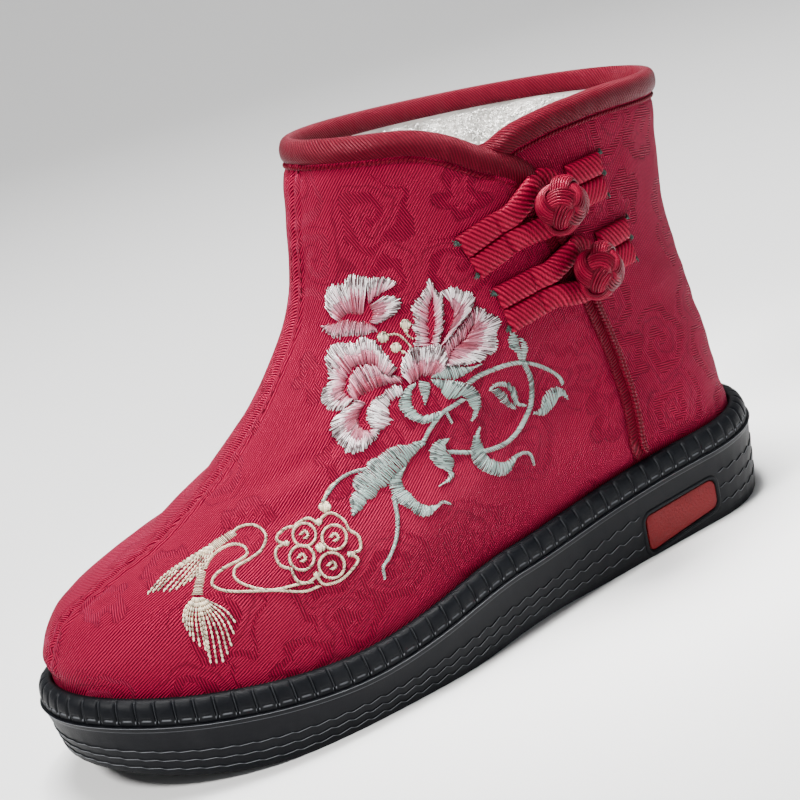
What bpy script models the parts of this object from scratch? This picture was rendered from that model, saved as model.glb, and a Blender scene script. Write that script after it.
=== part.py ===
"""Padded cloth ankle boot for the left foot, with frog closures, on a moulded rubber sole.

Sizes are in metres. +X runs to the toe, +Y to the outer side of the foot and +Z up. The origin
lies on the floor, under the middle of the boot's box.
"""

import math

import bpy
import numpy as np

# Sole
SOLE_LENGTH = 0.262
SOLE_WIDTH = 0.101
HEEL_TOP = 0.0325
WAIST_TOP = 0.0288
BALL_TOP = 0.0226
TOE_TOP = 0.0350
TOE_SPRING = 0.0120
HEEL_ROCKER = 0.0030
ARCH_LIFT = 0.0015
TOE_INFLARE = 0.0050
SIDE_SHIFT = 0.0007
TREAD_DEPTH = 0.0025
TREAD_RIM = 0.0050
TREAD_BANK = 0.0012
INSOLE_THICKNESS = 0.0030
CLEARANCE = 0.0003

# Side wall of the sole
TOOTH_PITCH = 0.0062
TOOTH_RISE = 0.0014
TOOTH_RELIEF = 0.0005
STEP_DEPTH = 0.0008
STEP_DROP = 0.0006
LIP_HEIGHT = 0.0009
LIP_DEPTH = 0.0007
WALL_TAPER = 0.0032

# Beaded welt
WELT_HEIGHT = 0.0075
WELT_DEPTH = 0.0048
WELT_INSET = 0.0010
BEAD_PITCH = 0.0092
BEAD_RELIEF = 0.0008

# Heel badge
BADGE_LENGTH = 0.0300
BADGE_HEIGHT = 0.0112
BADGE_THICKNESS = 0.0014
BADGE_CORNER = 0.0022
BADGE_FRAME = 0.0026
BADGE_UP = 0.0092

# Upper
WALL = 0.0030
BACK_HEIGHT = 0.1475
FRONT_HEIGHT = 0.1650
COLLAR_BACK = 0.1269
COLLAR_WIDTH = 0.0736
ANKLE_WIDTH = 0.0660
VAMP_WIDTH = 0.0880
SEAT_INSET = 0.0062

# Bindings
BINDING_HEIGHT = 0.0070
BINDING_THICKNESS = 0.0052
NOTCH_DIP = 0.0106
LAP_STEP = 0.0012
LAP_FADE = 0.0300
SLIT_WIDTH = 0.0052
SLIT_THICKNESS = 0.0014

# Frog closures
FROG_BAND = 0.0076
FROG_THICKNESS = 0.0022
FROG_LOOP = 0.0300
FROG_TAIL = 0.0255
EYE_START = 0.0130
KNOT_DIAMETER = 0.0182
KNOT_THICKNESS = 0.0126
NECK_DIAMETER = 0.0056

# Places and roundings, as shares of the sole's length
HEEL_ROUND = 0.14
TOE_ROUND = 0.24
TOE_SPRING_START = 0.76
HEEL_ROCKER_END = 0.08
ARCH_START = 0.30
ARCH_END = 0.56
BADGE_ALONG = 0.197

INFLARE_START = 0.45
INFLARE_END = 1.0

# Fullness of the round ends and of the collar's oval: 2 is an ellipse, more is squarer
HEEL_FULLNESS = 2.1
TOE_FULLNESS = 2.2
OVAL_FULLNESS = 2.15
INFLARE_POWER = 1.5

# Slopes and blends
BADGE_SLOPE = -0.07
BADGE_TAPER = -0.10
BACK_RISE = 1.05
LEVEL_SHARE = 0.25
SEAT_SHARE = 0.062
SWELL_SHARE = 0.065
NEAR_RIM = 0.98

# Counts
COLUMNS = 48
LUG_COLUMNS = 2
KNOT_SIDES = 14
KNOT_RINGS = 9
ARM_STATIONS = 10
BEND_STATIONS = 9
TAIL_STATIONS = 4
CORNER_STATIONS = 4
SOLVE_STEPS = 5

# Steps of angle and of share for slopes, and the gap between the upper's two columns at its lap
NORMAL_STEP = 4e-3
SLOPE_STEP = 1e-3
LAP_EDGE_TURN = 0.006
LAP_HOME = 0.5

# Rows of the upper, as rises, and the ends of the front panel's bound edge
ROWS = (0.0, SEAT_SHARE, 0.09, 0.125, 0.17, 0.23, 0.30, 0.38, 0.46, 0.54, 0.62, 0.70, 0.78, 0.86, 0.93, 1.0)
SLIT_BOTTOM = 0.10
SLIT_TOP = 0.955

# Colours
BLACK_RUBBER = (0.012, 0.012, 0.014)
BADGE_RED = (0.32, 0.012, 0.012)
BROCADE_RED = (0.28, 0.008, 0.022)
SATIN_RED = (0.25, 0.006, 0.015)
FLEECE = (0.80, 0.76, 0.68)

# Roughness
RUBBER_ROUGHNESS = 0.55
BROCADE_ROUGHNESS = 0.8
SATIN_ROUGHNESS = 0.45
FELT_ROUGHNESS = 0.95
SHARP_EDGE = math.radians(35)

# Half widths of the sole along its length, as shares of half its width
OUTLINE = {
    "along": (0.00, 0.15, 0.30, 0.45, 0.60, 0.70, 0.80, 0.90, 1.00),
    "outer": (0.70, 0.72, 0.76, 0.87, 0.985, 1.00, 0.96, 0.88, 0.80),
    "inner": (0.70, 0.70, 0.67, 0.71, 0.86, 0.97, 1.00, 0.97, 0.90),
}

# Height of the welt's top along the sole, as shares of its heights at heel, waist, ball and toe
TOP_LINE = {
    "along": (0.00, 0.20, 0.45, 0.68, 0.86, 1.00),
    "heel": (1.0, 0.985, 0.0, 0.0, 0.0, 0.0),
    "waist": (0.0, 0.0, 1.0, 0.0, 0.0, 0.0),
    "ball": (0.0, 0.0, 0.0, 1.0, 0.60, 0.0),
    "toe": (0.0, 0.0, 0.0, 0.0, 0.405, 1.0),
}

# Zigzag steps of the side wall, as shares of the way from its lip down to the floor edge
STEPS = {
    "along": (0.00, 0.25, 0.45, 0.75, 1.00),
    "first": (0.30, 0.30, 0.44, 0.47, 0.47),
    "second": (0.52, 0.54, 0.61, 0.66, 0.66),
    "third": (0.75, 0.77, 0.79, 0.84, 0.84),
}

# Section of the welt: across its depth, up its height, and how far it follows the beads
WELT_PROFILE = {
    "across": (0.02, -0.02, 0.10, 0.45, 0.92, 1.00),
    "up": (0.0, 0.38, 0.80, 1.0, 0.86, 0.0),
    "crown": (0.3, 1.0, 0.9, 0.2, 0.0, 0.0),
}

# Front line of the upper, from the footbed up to the collar: how far forward, as a share of the
# sole's half length, and how far up, as a share of the way from the toe's top to the collar
FRONT_LINE = {
    "share": (0.0, 0.10, 0.18, 0.27, 0.40, 0.50, 0.61, 0.72, 0.86, 1.0),
    "forward": (0.943, 0.963, 0.915, 0.803, 0.603, 0.428, 0.253, 0.131, 0.071, 0.011),
    "rise": (-0.055, 0.047, 0.129, 0.175, 0.234, 0.319, 0.458, 0.611, 0.806, 1.0),
}

# Back line of the upper, as shares of the collar's distance behind the middle
BACK_LINE = {
    "share": (0.0, 0.25, 0.45, 0.65, 0.82, 1.0),
    "behind": (0.973, 0.976, 0.961, 0.950, 0.973, 1.0),
}

# Half width of the upper's sections, as shares of the vamp's, the ankle's and the collar's
SECTIONS = {
    "share": (0.0, 0.12, 0.30, 0.50, 0.70, 0.85, 1.0),
    "vamp": (0.99, 1.01, 0.91, 0.50, 0.0, 0.0, 0.0),
    "ankle": (0.0, 0.0, 0.0, 0.42, 1.0, 0.80, 0.0),
    "collar": (0.0, 0.0, 0.0, 0.0, 0.0, 0.20, 1.0),
}

# How far each section has turned from the foot's outline into an oval
OVAL = {
    "share": (0.0, 0.15, 0.40, 0.60, 0.80, 1.0),
    "turned": (0.0, 0.10, 0.50, 0.80, 1.0, 1.0),
}

# Edge of the front panel on the outer side, from the footbed up to the notch of the collar:
# how far along each section it lies, from the back to the front
LAP = {
    "rise": (0.0, 0.17, 0.36, 0.56, 0.73, 0.85, 0.92, 1.0),
    "along": (0.207, 0.210, 0.237, 0.315, 0.425, 0.50, 0.547, 0.633),
}

# Dip of the collar on the outer side, along its section, as a share of the notch's depth
NOTCH = {
    "along": (0.0, 0.25, 0.40, 0.545, 0.633, 0.735, 0.83, 1.0),
    "dip": (0.0, 0.0, 0.14, 0.50, 1.0, 0.39, 0.08, 0.0),
}

# Sections of the bindings and of a frog's tape, across and up
BINDING_PROFILE = {
    "across": (-0.46, 0.46, 0.52, 0.26, -0.26, -0.52),
    "up": (0.0, 0.0, 0.62, 1.0, 1.0, 0.62),
}
SLIT_PROFILE = {
    "across": (0.04, 1.0, 1.0, 0.62, 0.30, 0.04),
    "up": (0.0, 0.0, 0.35, 0.62, 1.0, 0.75),
}
BAND_PROFILE = {
    "across": (-0.5, 0.5, 0.5, 0.36, -0.36, -0.5),
    "up": (0.0, 0.0, 0.55, 1.0, 1.0, 0.55),
}

# Frog closures: the knot's place along its section and up the upper, and how far the loop and
# the tail slope up to the back, in degrees
FROGS = {
    "name": ("upper", "lower"),
    "along": (0.485, 0.379),
    "rise": (0.840, 0.654),
    "loop_slope": (16.0, 5.0),
    "tail_slope": (0.0, 1.0),
}


def smooth(at, keys, values):
    """Monotone cubic curve through the rows of a table."""
    keys, values = np.asarray(keys, float), np.asarray(values, float)
    steps = np.diff(keys)
    slopes = np.diff(values) / steps
    tangents = np.zeros(len(keys))
    tangents[0], tangents[-1] = slopes[0], slopes[-1]
    for i in range(1, len(keys) - 1):
        before, after = slopes[i - 1], slopes[i]
        if before * after > 0:
            first = 2 * steps[i] + steps[i - 1]
            second = steps[i] + 2 * steps[i - 1]
            tangents[i] = (first + second) / (first / before + second / after)
    at = np.clip(np.asarray(at, float), keys[0], keys[-1])
    i = np.clip(np.searchsorted(keys, at, side="right") - 1, 0, len(steps) - 1)
    t = (at - keys[i]) / steps[i]
    return (
        values[i] * (1 + 2 * t) * (1 - t) ** 2
        + values[i + 1] * t**2 * (3 - 2 * t)
        + tangents[i] * steps[i] * t * (1 - t) ** 2
        - tangents[i + 1] * steps[i] * t**2 * (1 - t)
    )


def read(table, column, at):
    """A column of a table, at a place along its first column."""
    return smooth(at, next(iter(table.values())), table[column])


def ease(share):
    share = np.clip(share, 0.0, 1.0)
    return share * share * (3 - 2 * share)


def mix(first, second, share):
    return first + (second - first) * share


def unit(vectors):
    return vectors / np.maximum(np.linalg.norm(vectors, axis=-1, keepdims=True), 1e-12)


# Lines of the sole


def along_of(angle):
    """Share of the way from heel to toe. The angle is 0 at the heel and pi at the toe."""
    return (1 - np.cos(angle)) / 2


def half_width(angle):
    """Signed half width as a share of the widest half; the outer side is positive."""
    along = along_of(angle)
    outer = np.sin(angle) >= 0
    side = np.where(outer, read(OUTLINE, "outer", along), -read(OUTLINE, "inner", along))
    heel = np.clip((HEEL_ROUND - along) / HEEL_ROUND, 0, 1)
    toe = np.clip((along - 1 + TOE_ROUND) / TOE_ROUND, 0, 1)
    heel_end = np.clip(1 - heel**HEEL_FULLNESS, 0, 1) ** (1 / HEEL_FULLNESS)
    toe_end = np.clip(1 - toe**TOE_FULLNESS, 0, 1) ** (1 / TOE_FULLNESS)
    return side * heel_end * toe_end


def centre_line(x):
    """The toe turns to the inner side."""
    along = x / SOLE_LENGTH + 0.5
    forward = np.clip((along - INFLARE_START) / (INFLARE_END - INFLARE_START), 0, 1)
    return SIDE_SHIFT - TOE_INFLARE * forward**INFLARE_POWER


def outline(angle, inset=0.0):
    """Points of the sole's outline, moved inwards by the inset."""

    def edge(at):
        x = (along_of(at) - 0.5) * SOLE_LENGTH
        return np.stack([x, half_width(at) * SOLE_WIDTH / 2 + centre_line(x)], -1)

    angle = np.asarray(angle, float)
    ahead = unit(edge(angle + SLOPE_STEP) - edge(angle - SLOPE_STEP))
    inwards = np.stack([ahead[..., 1], -ahead[..., 0]], -1)
    return edge(angle) + inwards * np.asarray(inset, float)[..., None]


def top_height(along):
    """Height of the welt's top."""
    sizes = {"heel": HEEL_TOP, "waist": WAIST_TOP, "ball": BALL_TOP, "toe": TOE_TOP}
    return sum(size * read(TOP_LINE, name, along) for name, size in sizes.items())


def seat_height(along):
    """Height of the footbed, where welt, upper and insole sit."""
    return top_height(along) - WELT_HEIGHT


def floor_height(along):
    """Height of the tread, which rises at the toe, the arch and the back of the heel."""
    toe = np.clip((along - TOE_SPRING_START) / (1 - TOE_SPRING_START), 0, 1)
    heel = np.clip((HEEL_ROCKER_END - along) / HEEL_ROCKER_END, 0, 1)
    arch = np.clip((along - ARCH_START) / (ARCH_END - ARCH_START), 0, 1)
    return TOE_SPRING * toe**2 + HEEL_ROCKER * heel**2 + ARCH_LIFT * np.sin(math.pi * arch) ** 2


def even_angles(columns):
    """Angles that part each side of the outline into equal steps, with one at heel and toe."""
    angles = []
    for start in (0.0, math.pi):
        fine = np.linspace(start, start + math.pi, 721)
        steps = np.linalg.norm(np.diff(outline(fine), axis=0), axis=1)
        length = np.concatenate([[0], np.cumsum(steps)])
        even = np.linspace(0, length[-1], columns // 2, endpoint=False)
        angles.append(np.interp(even, length, fine))
    return np.concatenate(angles)


def perimeter():
    fine = np.linspace(0, 2 * math.pi, 1441)
    return np.linalg.norm(np.diff(outline(fine), axis=0), axis=1).sum()


def outer_angle(x):
    """Angle of the outline's point on the outer side at a place along the sole."""
    return np.arccos(np.clip(1 - 2 * (x / SOLE_LENGTH + 0.5), -1, 1))


# Solids from rings


def volume(points, faces):
    total = 0.0
    for face in faces:
        first = points[face[0]]
        for second, third in zip(face[1:-1], face[2:]):
            total += np.dot(first, np.cross(points[second], points[third]))
    return total / 6


def make_solid(name, points, faces, colour, roughness):
    """One closed mesh object with its own material, its faces turned outwards."""
    points = np.asarray(points, float)
    if volume(points, faces) < 0:
        faces = [face[::-1] for face in faces]
    mesh = bpy.data.meshes.new(name)
    mesh.from_pydata([tuple(point) for point in points], [], faces)
    mesh.validate()
    mesh.shade_smooth()
    mesh.set_sharp_from_angle(angle=SHARP_EDGE)
    made = bpy.data.objects.new(name, mesh)
    bpy.context.scene.collection.objects.link(made)
    material = bpy.data.materials.new(name)
    material.use_nodes = True
    shader = material.node_tree.nodes["Principled BSDF"]
    shader.inputs["Base Color"].default_value = (*colour, 1)
    shader.inputs["Roughness"].default_value = roughness
    shader.inputs["Metallic"].default_value = 0
    mesh.materials.append(material)
    return made


def ring_faces(rows, columns, closed=False):
    """Quads between neighbouring rings; the last ring meets the first when closed."""
    faces = []
    for row in range(rows if closed else rows - 1):
        low, high = row * columns, (row + 1) % rows * columns
        for column in range(columns):
            after = (column + 1) % columns
            faces.append((low + column, low + after, high + after, high + column))
    return faces


def cap_faces(first, columns, flip=False):
    """Strips across a ring whose columns mirror each other about heel and toe."""
    faces = []
    for column in range(columns // 2):
        left, right = first + column, first + (columns - column) % columns
        left_on, right_on = first + column + 1, first + columns - column - 1
        face = [left, left_on, right_on, right]
        face = [corner for i, corner in enumerate(face) if corner not in face[:i]]
        faces.append(tuple(face[::-1] if flip else face))
    return faces


def strip_solid(sections):
    """Points and faces of a bar: its sections in order, with a face on each end."""
    rows, columns = sections.shape[:2]
    faces = ring_faces(rows, columns)
    faces.append(tuple(range(columns))[::-1])
    faces.append(tuple(range((rows - 1) * columns, rows * columns)))
    return sections.reshape(-1, 3), faces


# Sole


def badge_zone(angle):
    """1 where the side wall carries the badge's plain frame, else 0."""
    reach = BADGE_LENGTH / 2 + BADGE_FRAME
    x = (along_of(angle) - 0.5) * SOLE_LENGTH
    middle = (BADGE_ALONG - 0.5) * SOLE_LENGTH
    return ((np.abs(x - middle) < reach) & (np.sin(angle) > 0)).astype(float)


def wall_inset(share):
    """Inset of the plain wall, by share of the way down from the lip to the floor edge."""
    return LIP_DEPTH + (WALL_TAPER - LIP_DEPTH) * share


def sole_rings(angles):
    """Rings of the outsole from the footbed's edge, down the stepped wall, to the tread."""
    along = along_of(angles)
    zone = badge_zone(angles)
    tooth = np.where(np.arange(len(angles)) % 2 == 0, 0.5, -0.5) * (1 - zone)
    zigzag, relief = TOOTH_RISE * tooth, TOOTH_RELIEF * tooth
    lip, floor = seat_height(along) - LIP_HEIGHT, floor_height(along)

    def ring(height, inset):
        return np.concatenate([outline(angles, inset), height[:, None]], axis=1)

    rings = [
        ring(seat_height(along), np.full(len(angles), WELT_INSET)),
        ring(lip, np.zeros(len(angles))),
        ring(lip - LIP_HEIGHT, np.full(len(angles), wall_inset(0.0))),
    ]
    for step in ("first", "second", "third"):
        share = read(STEPS, step, along)
        height = mix(lip, floor, share) + zigzag
        inset = wall_inset(share) - relief
        rings.append(ring(height, inset + STEP_DEPTH / 2 * (1 - zone)))
        rings.append(ring(height - STEP_DROP, inset - STEP_DEPTH / 2 * (1 - zone)))
    rings.append(ring(floor, wall_inset(1.0) - relief))
    rings.append(ring(floor, np.full(len(angles), WALL_TAPER + TREAD_RIM)))
    rings.append(tread_ring(angles))
    return np.array(rings)


def tread_ring(angles):
    """The edge of the lugs: between them the tread is sunk by its depth."""
    along = along_of(angles)
    count = len(angles)
    order = np.minimum(np.arange(count), count - np.arange(count))
    sunk = (order // LUG_COLUMNS % 2 == 1).astype(float)
    plain = (along > ARCH_START) & (along < ARCH_END)
    height = floor_height(along) + TREAD_DEPTH * np.where(plain, 0.0, sunk)
    inset = np.full(count, WALL_TAPER + TREAD_RIM + TREAD_BANK)
    return np.concatenate([outline(angles, inset), height[:, None]], axis=1)


def badge_outline(grow):
    """Stations along the badge with the heights of its lower and upper edge."""
    half, corner = BADGE_LENGTH / 2 + grow, BADGE_CORNER + grow
    turns = np.linspace(0, math.pi / 2, CORNER_STATIONS)
    ends = half - corner + corner * np.sin(turns)
    falls = corner - corner * np.cos(turns)
    along = np.concatenate([-ends[::-1], [-half / 3, half / 3], ends])
    fall = np.concatenate([falls[::-1], [0, 0], falls])
    height = (BADGE_HEIGHT + 2 * grow) * (1 - BADGE_TAPER * along / half) / 2
    fall = np.minimum(fall, height * 0.9)
    return along, -height + fall, height - fall


def badge_block(grow, back, front):
    """A block that follows the side wall of the heel, from one inset to another."""
    along, lower, upper = badge_outline(grow)
    middle = (BADGE_ALONG - 0.5) * SOLE_LENGTH
    angle = outer_angle(middle + along)
    share = along_of(angle)
    lip, floor = seat_height(share) - LIP_HEIGHT, floor_height(share)
    sections = []
    for edge, inset in ((lower, back), (upper, back), (upper, front), (lower, front)):
        height = BADGE_UP + edge + along * BADGE_SLOPE
        place = outline(angle, wall_inset((lip - height) / (lip - floor)) + inset)
        sections.append(np.concatenate([place, height[:, None]], axis=1))
    return strip_solid(np.stack(sections, axis=1))


def build_outsole():
    columns = 2 * round(perimeter() / TOOTH_PITCH / 2) * 2
    rings = sole_rings(even_angles(columns))
    faces = ring_faces(len(rings), columns)
    faces += cap_faces(0, columns, flip=True)
    faces += cap_faces((len(rings) - 1) * columns, columns)
    outsole = make_solid("outsole", rings.reshape(-1, 3), faces, BLACK_RUBBER, RUBBER_ROUGHNESS)
    points, faces = badge_block(CLEARANCE, BADGE_THICKNESS + CLEARANCE, -BADGE_THICKNESS)
    cutter = make_solid("badge_cutter", points, faces, BLACK_RUBBER, RUBBER_ROUGHNESS)
    cutter.hide_render = True
    cutter.display_type = "WIRE"
    pocket = outsole.modifiers.new("badge pocket", "BOOLEAN")
    pocket.operation = "DIFFERENCE"
    pocket.object = cutter


def build_badge():
    points, faces = badge_block(0.0, BADGE_THICKNESS, 0.0)
    make_solid("sole_badge", points, faces, BADGE_RED, RUBBER_ROUGHNESS)


def build_welt():
    """The beaded strip: two columns for each bead, one on its crown and one in its groove."""
    columns = 2 * round(perimeter() / BEAD_PITCH / 2) * 2
    angles = even_angles(columns)
    relief = np.where(np.arange(columns) % 2 == 0, 0.5, -0.5) * BEAD_RELIEF
    seat = seat_height(along_of(angles))
    rings = []
    for across, up, crown in zip(*(WELT_PROFILE[name] for name in ("across", "up", "crown"))):
        inset = WELT_INSET + across * WELT_DEPTH - crown * relief
        height = seat + CLEARANCE + up * (WELT_HEIGHT - CLEARANCE)
        rings.append(np.concatenate([outline(angles, inset), height[:, None]], axis=1))
    faces = ring_faces(len(rings), columns, closed=True)
    make_solid("welt", np.concatenate(rings), faces, BLACK_RUBBER, RUBBER_ROUGHNESS)


def build_insole():
    angles = even_angles(COLUMNS)
    seat = seat_height(along_of(angles)) + CLEARANCE
    edge = outline(angles, np.full(COLUMNS, SEAT_INSET + WALL + 2 * CLEARANCE))
    rings = [
        np.concatenate([edge, height[:, None]], axis=1)
        for height in (seat, seat + INSOLE_THICKNESS)
    ]
    faces = ring_faces(2, COLUMNS) + cap_faces(0, COLUMNS, flip=True) + cap_faces(COLUMNS, COLUMNS)
    make_solid("insole", np.concatenate(rings), faces, FLEECE, FELT_ROUGHNESS)


# Upper


def section_point(angle, share):
    """Outer surface of the upper over the seat: its sections run from back to front."""
    along = along_of(angle)
    front_x = SOLE_LENGTH / 2 * read(FRONT_LINE, "forward", share)
    front_z = TOE_TOP + (FRONT_HEIGHT - TOE_TOP) * read(FRONT_LINE, "rise", share)
    back_x = -COLLAR_BACK * read(BACK_LINE, "behind", share)
    back_z = mix(seat_height(0.0), BACK_HEIGHT, share**BACK_RISE)
    sizes = {"vamp": VAMP_WIDTH / 2, "ankle": ANKLE_WIDTH / 2, "collar": COLLAR_WIDTH / 2}
    half = sum(size * read(SECTIONS, name, share) for name, size in sizes.items())
    side = np.where(np.sin(angle) >= 0, 1.0, -1.0)
    across = np.abs(2 * along - 1) ** OVAL_FULLNESS
    oval = side * np.clip(1 - across, 0, 1) ** (1 / OVAL_FULLNESS)
    x = mix(back_x, front_x, along)
    y = half * mix(half_width(angle), oval, read(OVAL, "turned", share)) + centre_line(x)
    level = mix(back_z, front_z, along)
    parallel = seat_height(along) - seat_height(0.0) + back_z
    return np.stack([x, y, mix(parallel, level, ease(share / LEVEL_SHARE))], -1)


def shell_point(angle, share):
    """Outer surface of the upper, upright inside the welt and then out to its sections."""
    angle, share = np.broadcast_arrays(np.asarray(angle, float), np.asarray(share, float))
    along = along_of(angle)
    climb = share / SEAT_SHARE * WELT_HEIGHT
    seat = np.concatenate(
        [
            outline(angle, np.full(angle.shape, SEAT_INSET)),
            (seat_height(along) + CLEARANCE + climb)[..., None],
        ],
        axis=-1,
    )
    out = ease((share - SEAT_SHARE) / SWELL_SHARE)
    return mix(seat, section_point(angle, share), out[..., None])


def rim_climb(angle):
    """Length of the surface for a share of 1, measured at the collar."""
    run = shell_point(angle, 1.0) - shell_point(angle, NEAR_RIM)
    return np.linalg.norm(run, axis=-1) / (1 - NEAR_RIM)


def edge_share(angle):
    """Share at which the cloth ends under the collar's binding, with the notch's dip."""
    along = along_of(angle)
    dip = NOTCH_DIP * np.where(np.sin(angle) > 0, read(NOTCH, "dip", along), 0.0)
    return 1 - (BINDING_HEIGHT + CLEARANCE + dip) / rim_climb(angle)


def share_at(angle, rise):
    """Rise runs from 0 at the footbed to 1 at the cloth's edge."""
    return rise - (1 - edge_share(angle)) * rise**3


def lap_angle(rise):
    return outer_angle((read(LAP, "along", rise) - 0.5) * SOLE_LENGTH)


def past_lap(angle, rise):
    """Distance in front of the front panel's edge, along the section."""
    ahead = along_of(angle) - read(LAP, "along", rise)
    share = share_at(angle, rise)
    front_x = SOLE_LENGTH / 2 * read(FRONT_LINE, "forward", share)
    length = front_x + COLLAR_BACK * read(BACK_LINE, "behind", share)
    return np.where(np.sin(angle) > 0, ahead, along_of(angle) + 1) * length


def lap_lift(distance, rise):
    """Extra thickness of the front panel where it laps over the back panel, above the welt."""
    lap = LAP_STEP * (1 - ease(distance / LAP_FADE))
    return np.where(distance >= 0, lap, 0.0) * ease((rise - SEAT_SHARE) / SWELL_SHARE)


def upper_point(angle, rise, lift=0.0):
    """A point on the shell, moved outwards along its normal."""
    angle, rise = np.broadcast_arrays(np.asarray(angle, float), np.asarray(rise, float))
    here = shell_point(angle, share_at(angle, rise))
    normal = upper_normal(angle, rise)
    return here + normal * np.broadcast_to(np.asarray(lift, float), angle.shape)[..., None]


def upper_normal(angle, rise):
    def place(at, height):
        return shell_point(at, share_at(at, height))

    up = place(angle, rise + NORMAL_STEP) - place(angle, np.maximum(rise - NORMAL_STEP, 0))
    ahead = place(angle + NORMAL_STEP, rise) - place(angle - NORMAL_STEP, rise)
    return unit(np.cross(up, ahead))


def upper_angles(rise):
    """Columns that follow the lap's edge, with two of them at it."""
    turn = np.linspace(0, 2 * math.pi, COLUMNS, endpoint=False)
    turn = np.insert(turn, 1, LAP_EDGE_TURN)
    home = lap_angle(LAP_HOME)
    follow = (1 + np.cos(turn)) / 2
    return home + turn + (lap_angle(rise) - home) * follow


def build_upper():
    outer, inner = [], []
    for rise in ROWS:
        angles = upper_angles(rise)
        distance = past_lap(angles, rise)
        distance[0], distance[1] = -1.0, 0.0
        lift = lap_lift(distance, rise)
        outer.append(upper_point(angles, rise, lift))
        inner.append(upper_point(angles, rise, -WALL))
    inner[0][:, 2] = outer[0][:, 2]
    rings = outer + inner[::-1]
    faces = ring_faces(len(rings), COLUMNS + 1, closed=True)
    make_solid("upper", np.concatenate(rings), faces, BROCADE_RED, BROCADE_ROUGHNESS)


def build_collar_binding():
    """A rolled edge that sits on the cloth's edge all round, down into the notch."""
    angles = upper_angles(1.0)
    edge = upper_point(angles, 1.0, -WALL / 2)
    up = unit(edge - upper_point(angles, NEAR_RIM, -WALL / 2))
    out = upper_normal(angles, 1.0)
    rings = []
    for across, height in zip(BINDING_PROFILE["across"], BINDING_PROFILE["up"]):
        shift = up * (CLEARANCE + BINDING_HEIGHT * height)
        rings.append(edge + out * BINDING_THICKNESS * across + shift)
    faces = ring_faces(len(rings), COLUMNS + 1, closed=True)
    make_solid("collar_binding", np.concatenate(rings), faces, SATIN_RED, SATIN_ROUGHNESS)


def build_slit_binding():
    """The bound edge of the front panel, from below the collar's binding down to the welt."""
    inside = [rise for rise in ROWS if SLIT_BOTTOM < rise < SLIT_TOP]
    rises = np.array([SLIT_BOTTOM, *inside, SLIT_TOP])
    angles = lap_angle(rises)
    run = upper_point(angles + NORMAL_STEP, rises) - upper_point(angles - NORMAL_STEP, rises)
    per_angle = np.linalg.norm(run, axis=-1) / (2 * NORMAL_STEP)
    sections = []
    for across, height in zip(SLIT_PROFILE["across"], SLIT_PROFILE["up"]):
        turn = across * SLIT_WIDTH / per_angle
        lift = LAP_STEP + CLEARANCE + SLIT_THICKNESS * height
        sections.append(upper_point(angles + turn, rises, lift))
    points, faces = strip_solid(np.stack(sections, axis=1))
    make_solid("slit_binding", points, faces, SATIN_RED, SATIN_ROUGHNESS)


# Frog closures


class Patch:
    """A flat drawing laid on the upper: its own axes run along and across a frog closure."""

    def __init__(self, along, rise, tilt):
        self.angle = float(outer_angle((along - 0.5) * SOLE_LENGTH))
        self.rise = rise
        self.centre = upper_point(self.angle, rise)
        self.normal = upper_normal(self.angle, rise)
        level = unit(np.cross(self.normal, (0.0, 0.0, 1.0)))
        upright = np.cross(level, self.normal)
        self.ahead = -level * math.cos(tilt) + upright * math.sin(tilt)
        self.across = np.cross(self.normal, self.ahead)

    def solve(self, along, across):
        """Angle and rise of the surface point over a place in the drawing."""
        angle = np.full(np.shape(along), self.angle)
        rise = np.full(np.shape(along), self.rise)
        for _ in range(SOLVE_STEPS):
            here = self.flat(angle, rise)
            by_angle = (self.flat(angle + SLOPE_STEP, rise) - here) / SLOPE_STEP
            by_rise = (self.flat(angle, rise + SLOPE_STEP) - here) / SLOPE_STEP
            miss = np.stack([along, across], -1) - here
            area = by_angle[..., 0] * by_rise[..., 1] - by_angle[..., 1] * by_rise[..., 0]
            angle += (miss[..., 0] * by_rise[..., 1] - miss[..., 1] * by_rise[..., 0]) / area
            rise += (miss[..., 1] * by_angle[..., 0] - miss[..., 0] * by_angle[..., 1]) / area
        return angle, rise

    def flat(self, angle, rise):
        offset = shell_point(angle, share_at(angle, rise)) - self.centre
        return np.stack([offset @ self.ahead, offset @ self.across], -1)

    def place(self, along, across, lift):
        angle, rise = self.solve(along, across)
        return upper_point(angle, rise, clear_lift(angle, rise) + lift)


def clear_lift(angle, rise):
    """Height over the shell that clears the front panel's lap and its bound edge."""
    distance = past_lap(angle, rise)
    begun = ease((distance + SLIT_WIDTH) / SLIT_WIDTH)
    over = begun * ease((3 * SLIT_WIDTH - distance) / SLIT_WIDTH)
    lap = LAP_STEP * begun * (1 - ease(distance / LAP_FADE))
    return CLEARANCE + lap + over * (SLIT_THICKNESS + CLEARANCE)


def band(patch, path, width):
    """A flat tape along a path in the drawing, with rounded edges."""
    path = np.asarray(path, float)
    ahead = unit(np.gradient(path, axis=0))
    side = np.stack([-ahead[:, 1], ahead[:, 0]], -1)
    across, up = (np.array(BAND_PROFILE[name]) for name in ("across", "up"))
    place = path[:, None] + side[:, None] * across[:, None] * width
    lift = np.broadcast_to(up * FROG_THICKNESS, place.shape[:2])
    return strip_solid(patch.place(place[..., 0], place[..., 1], lift))


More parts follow.
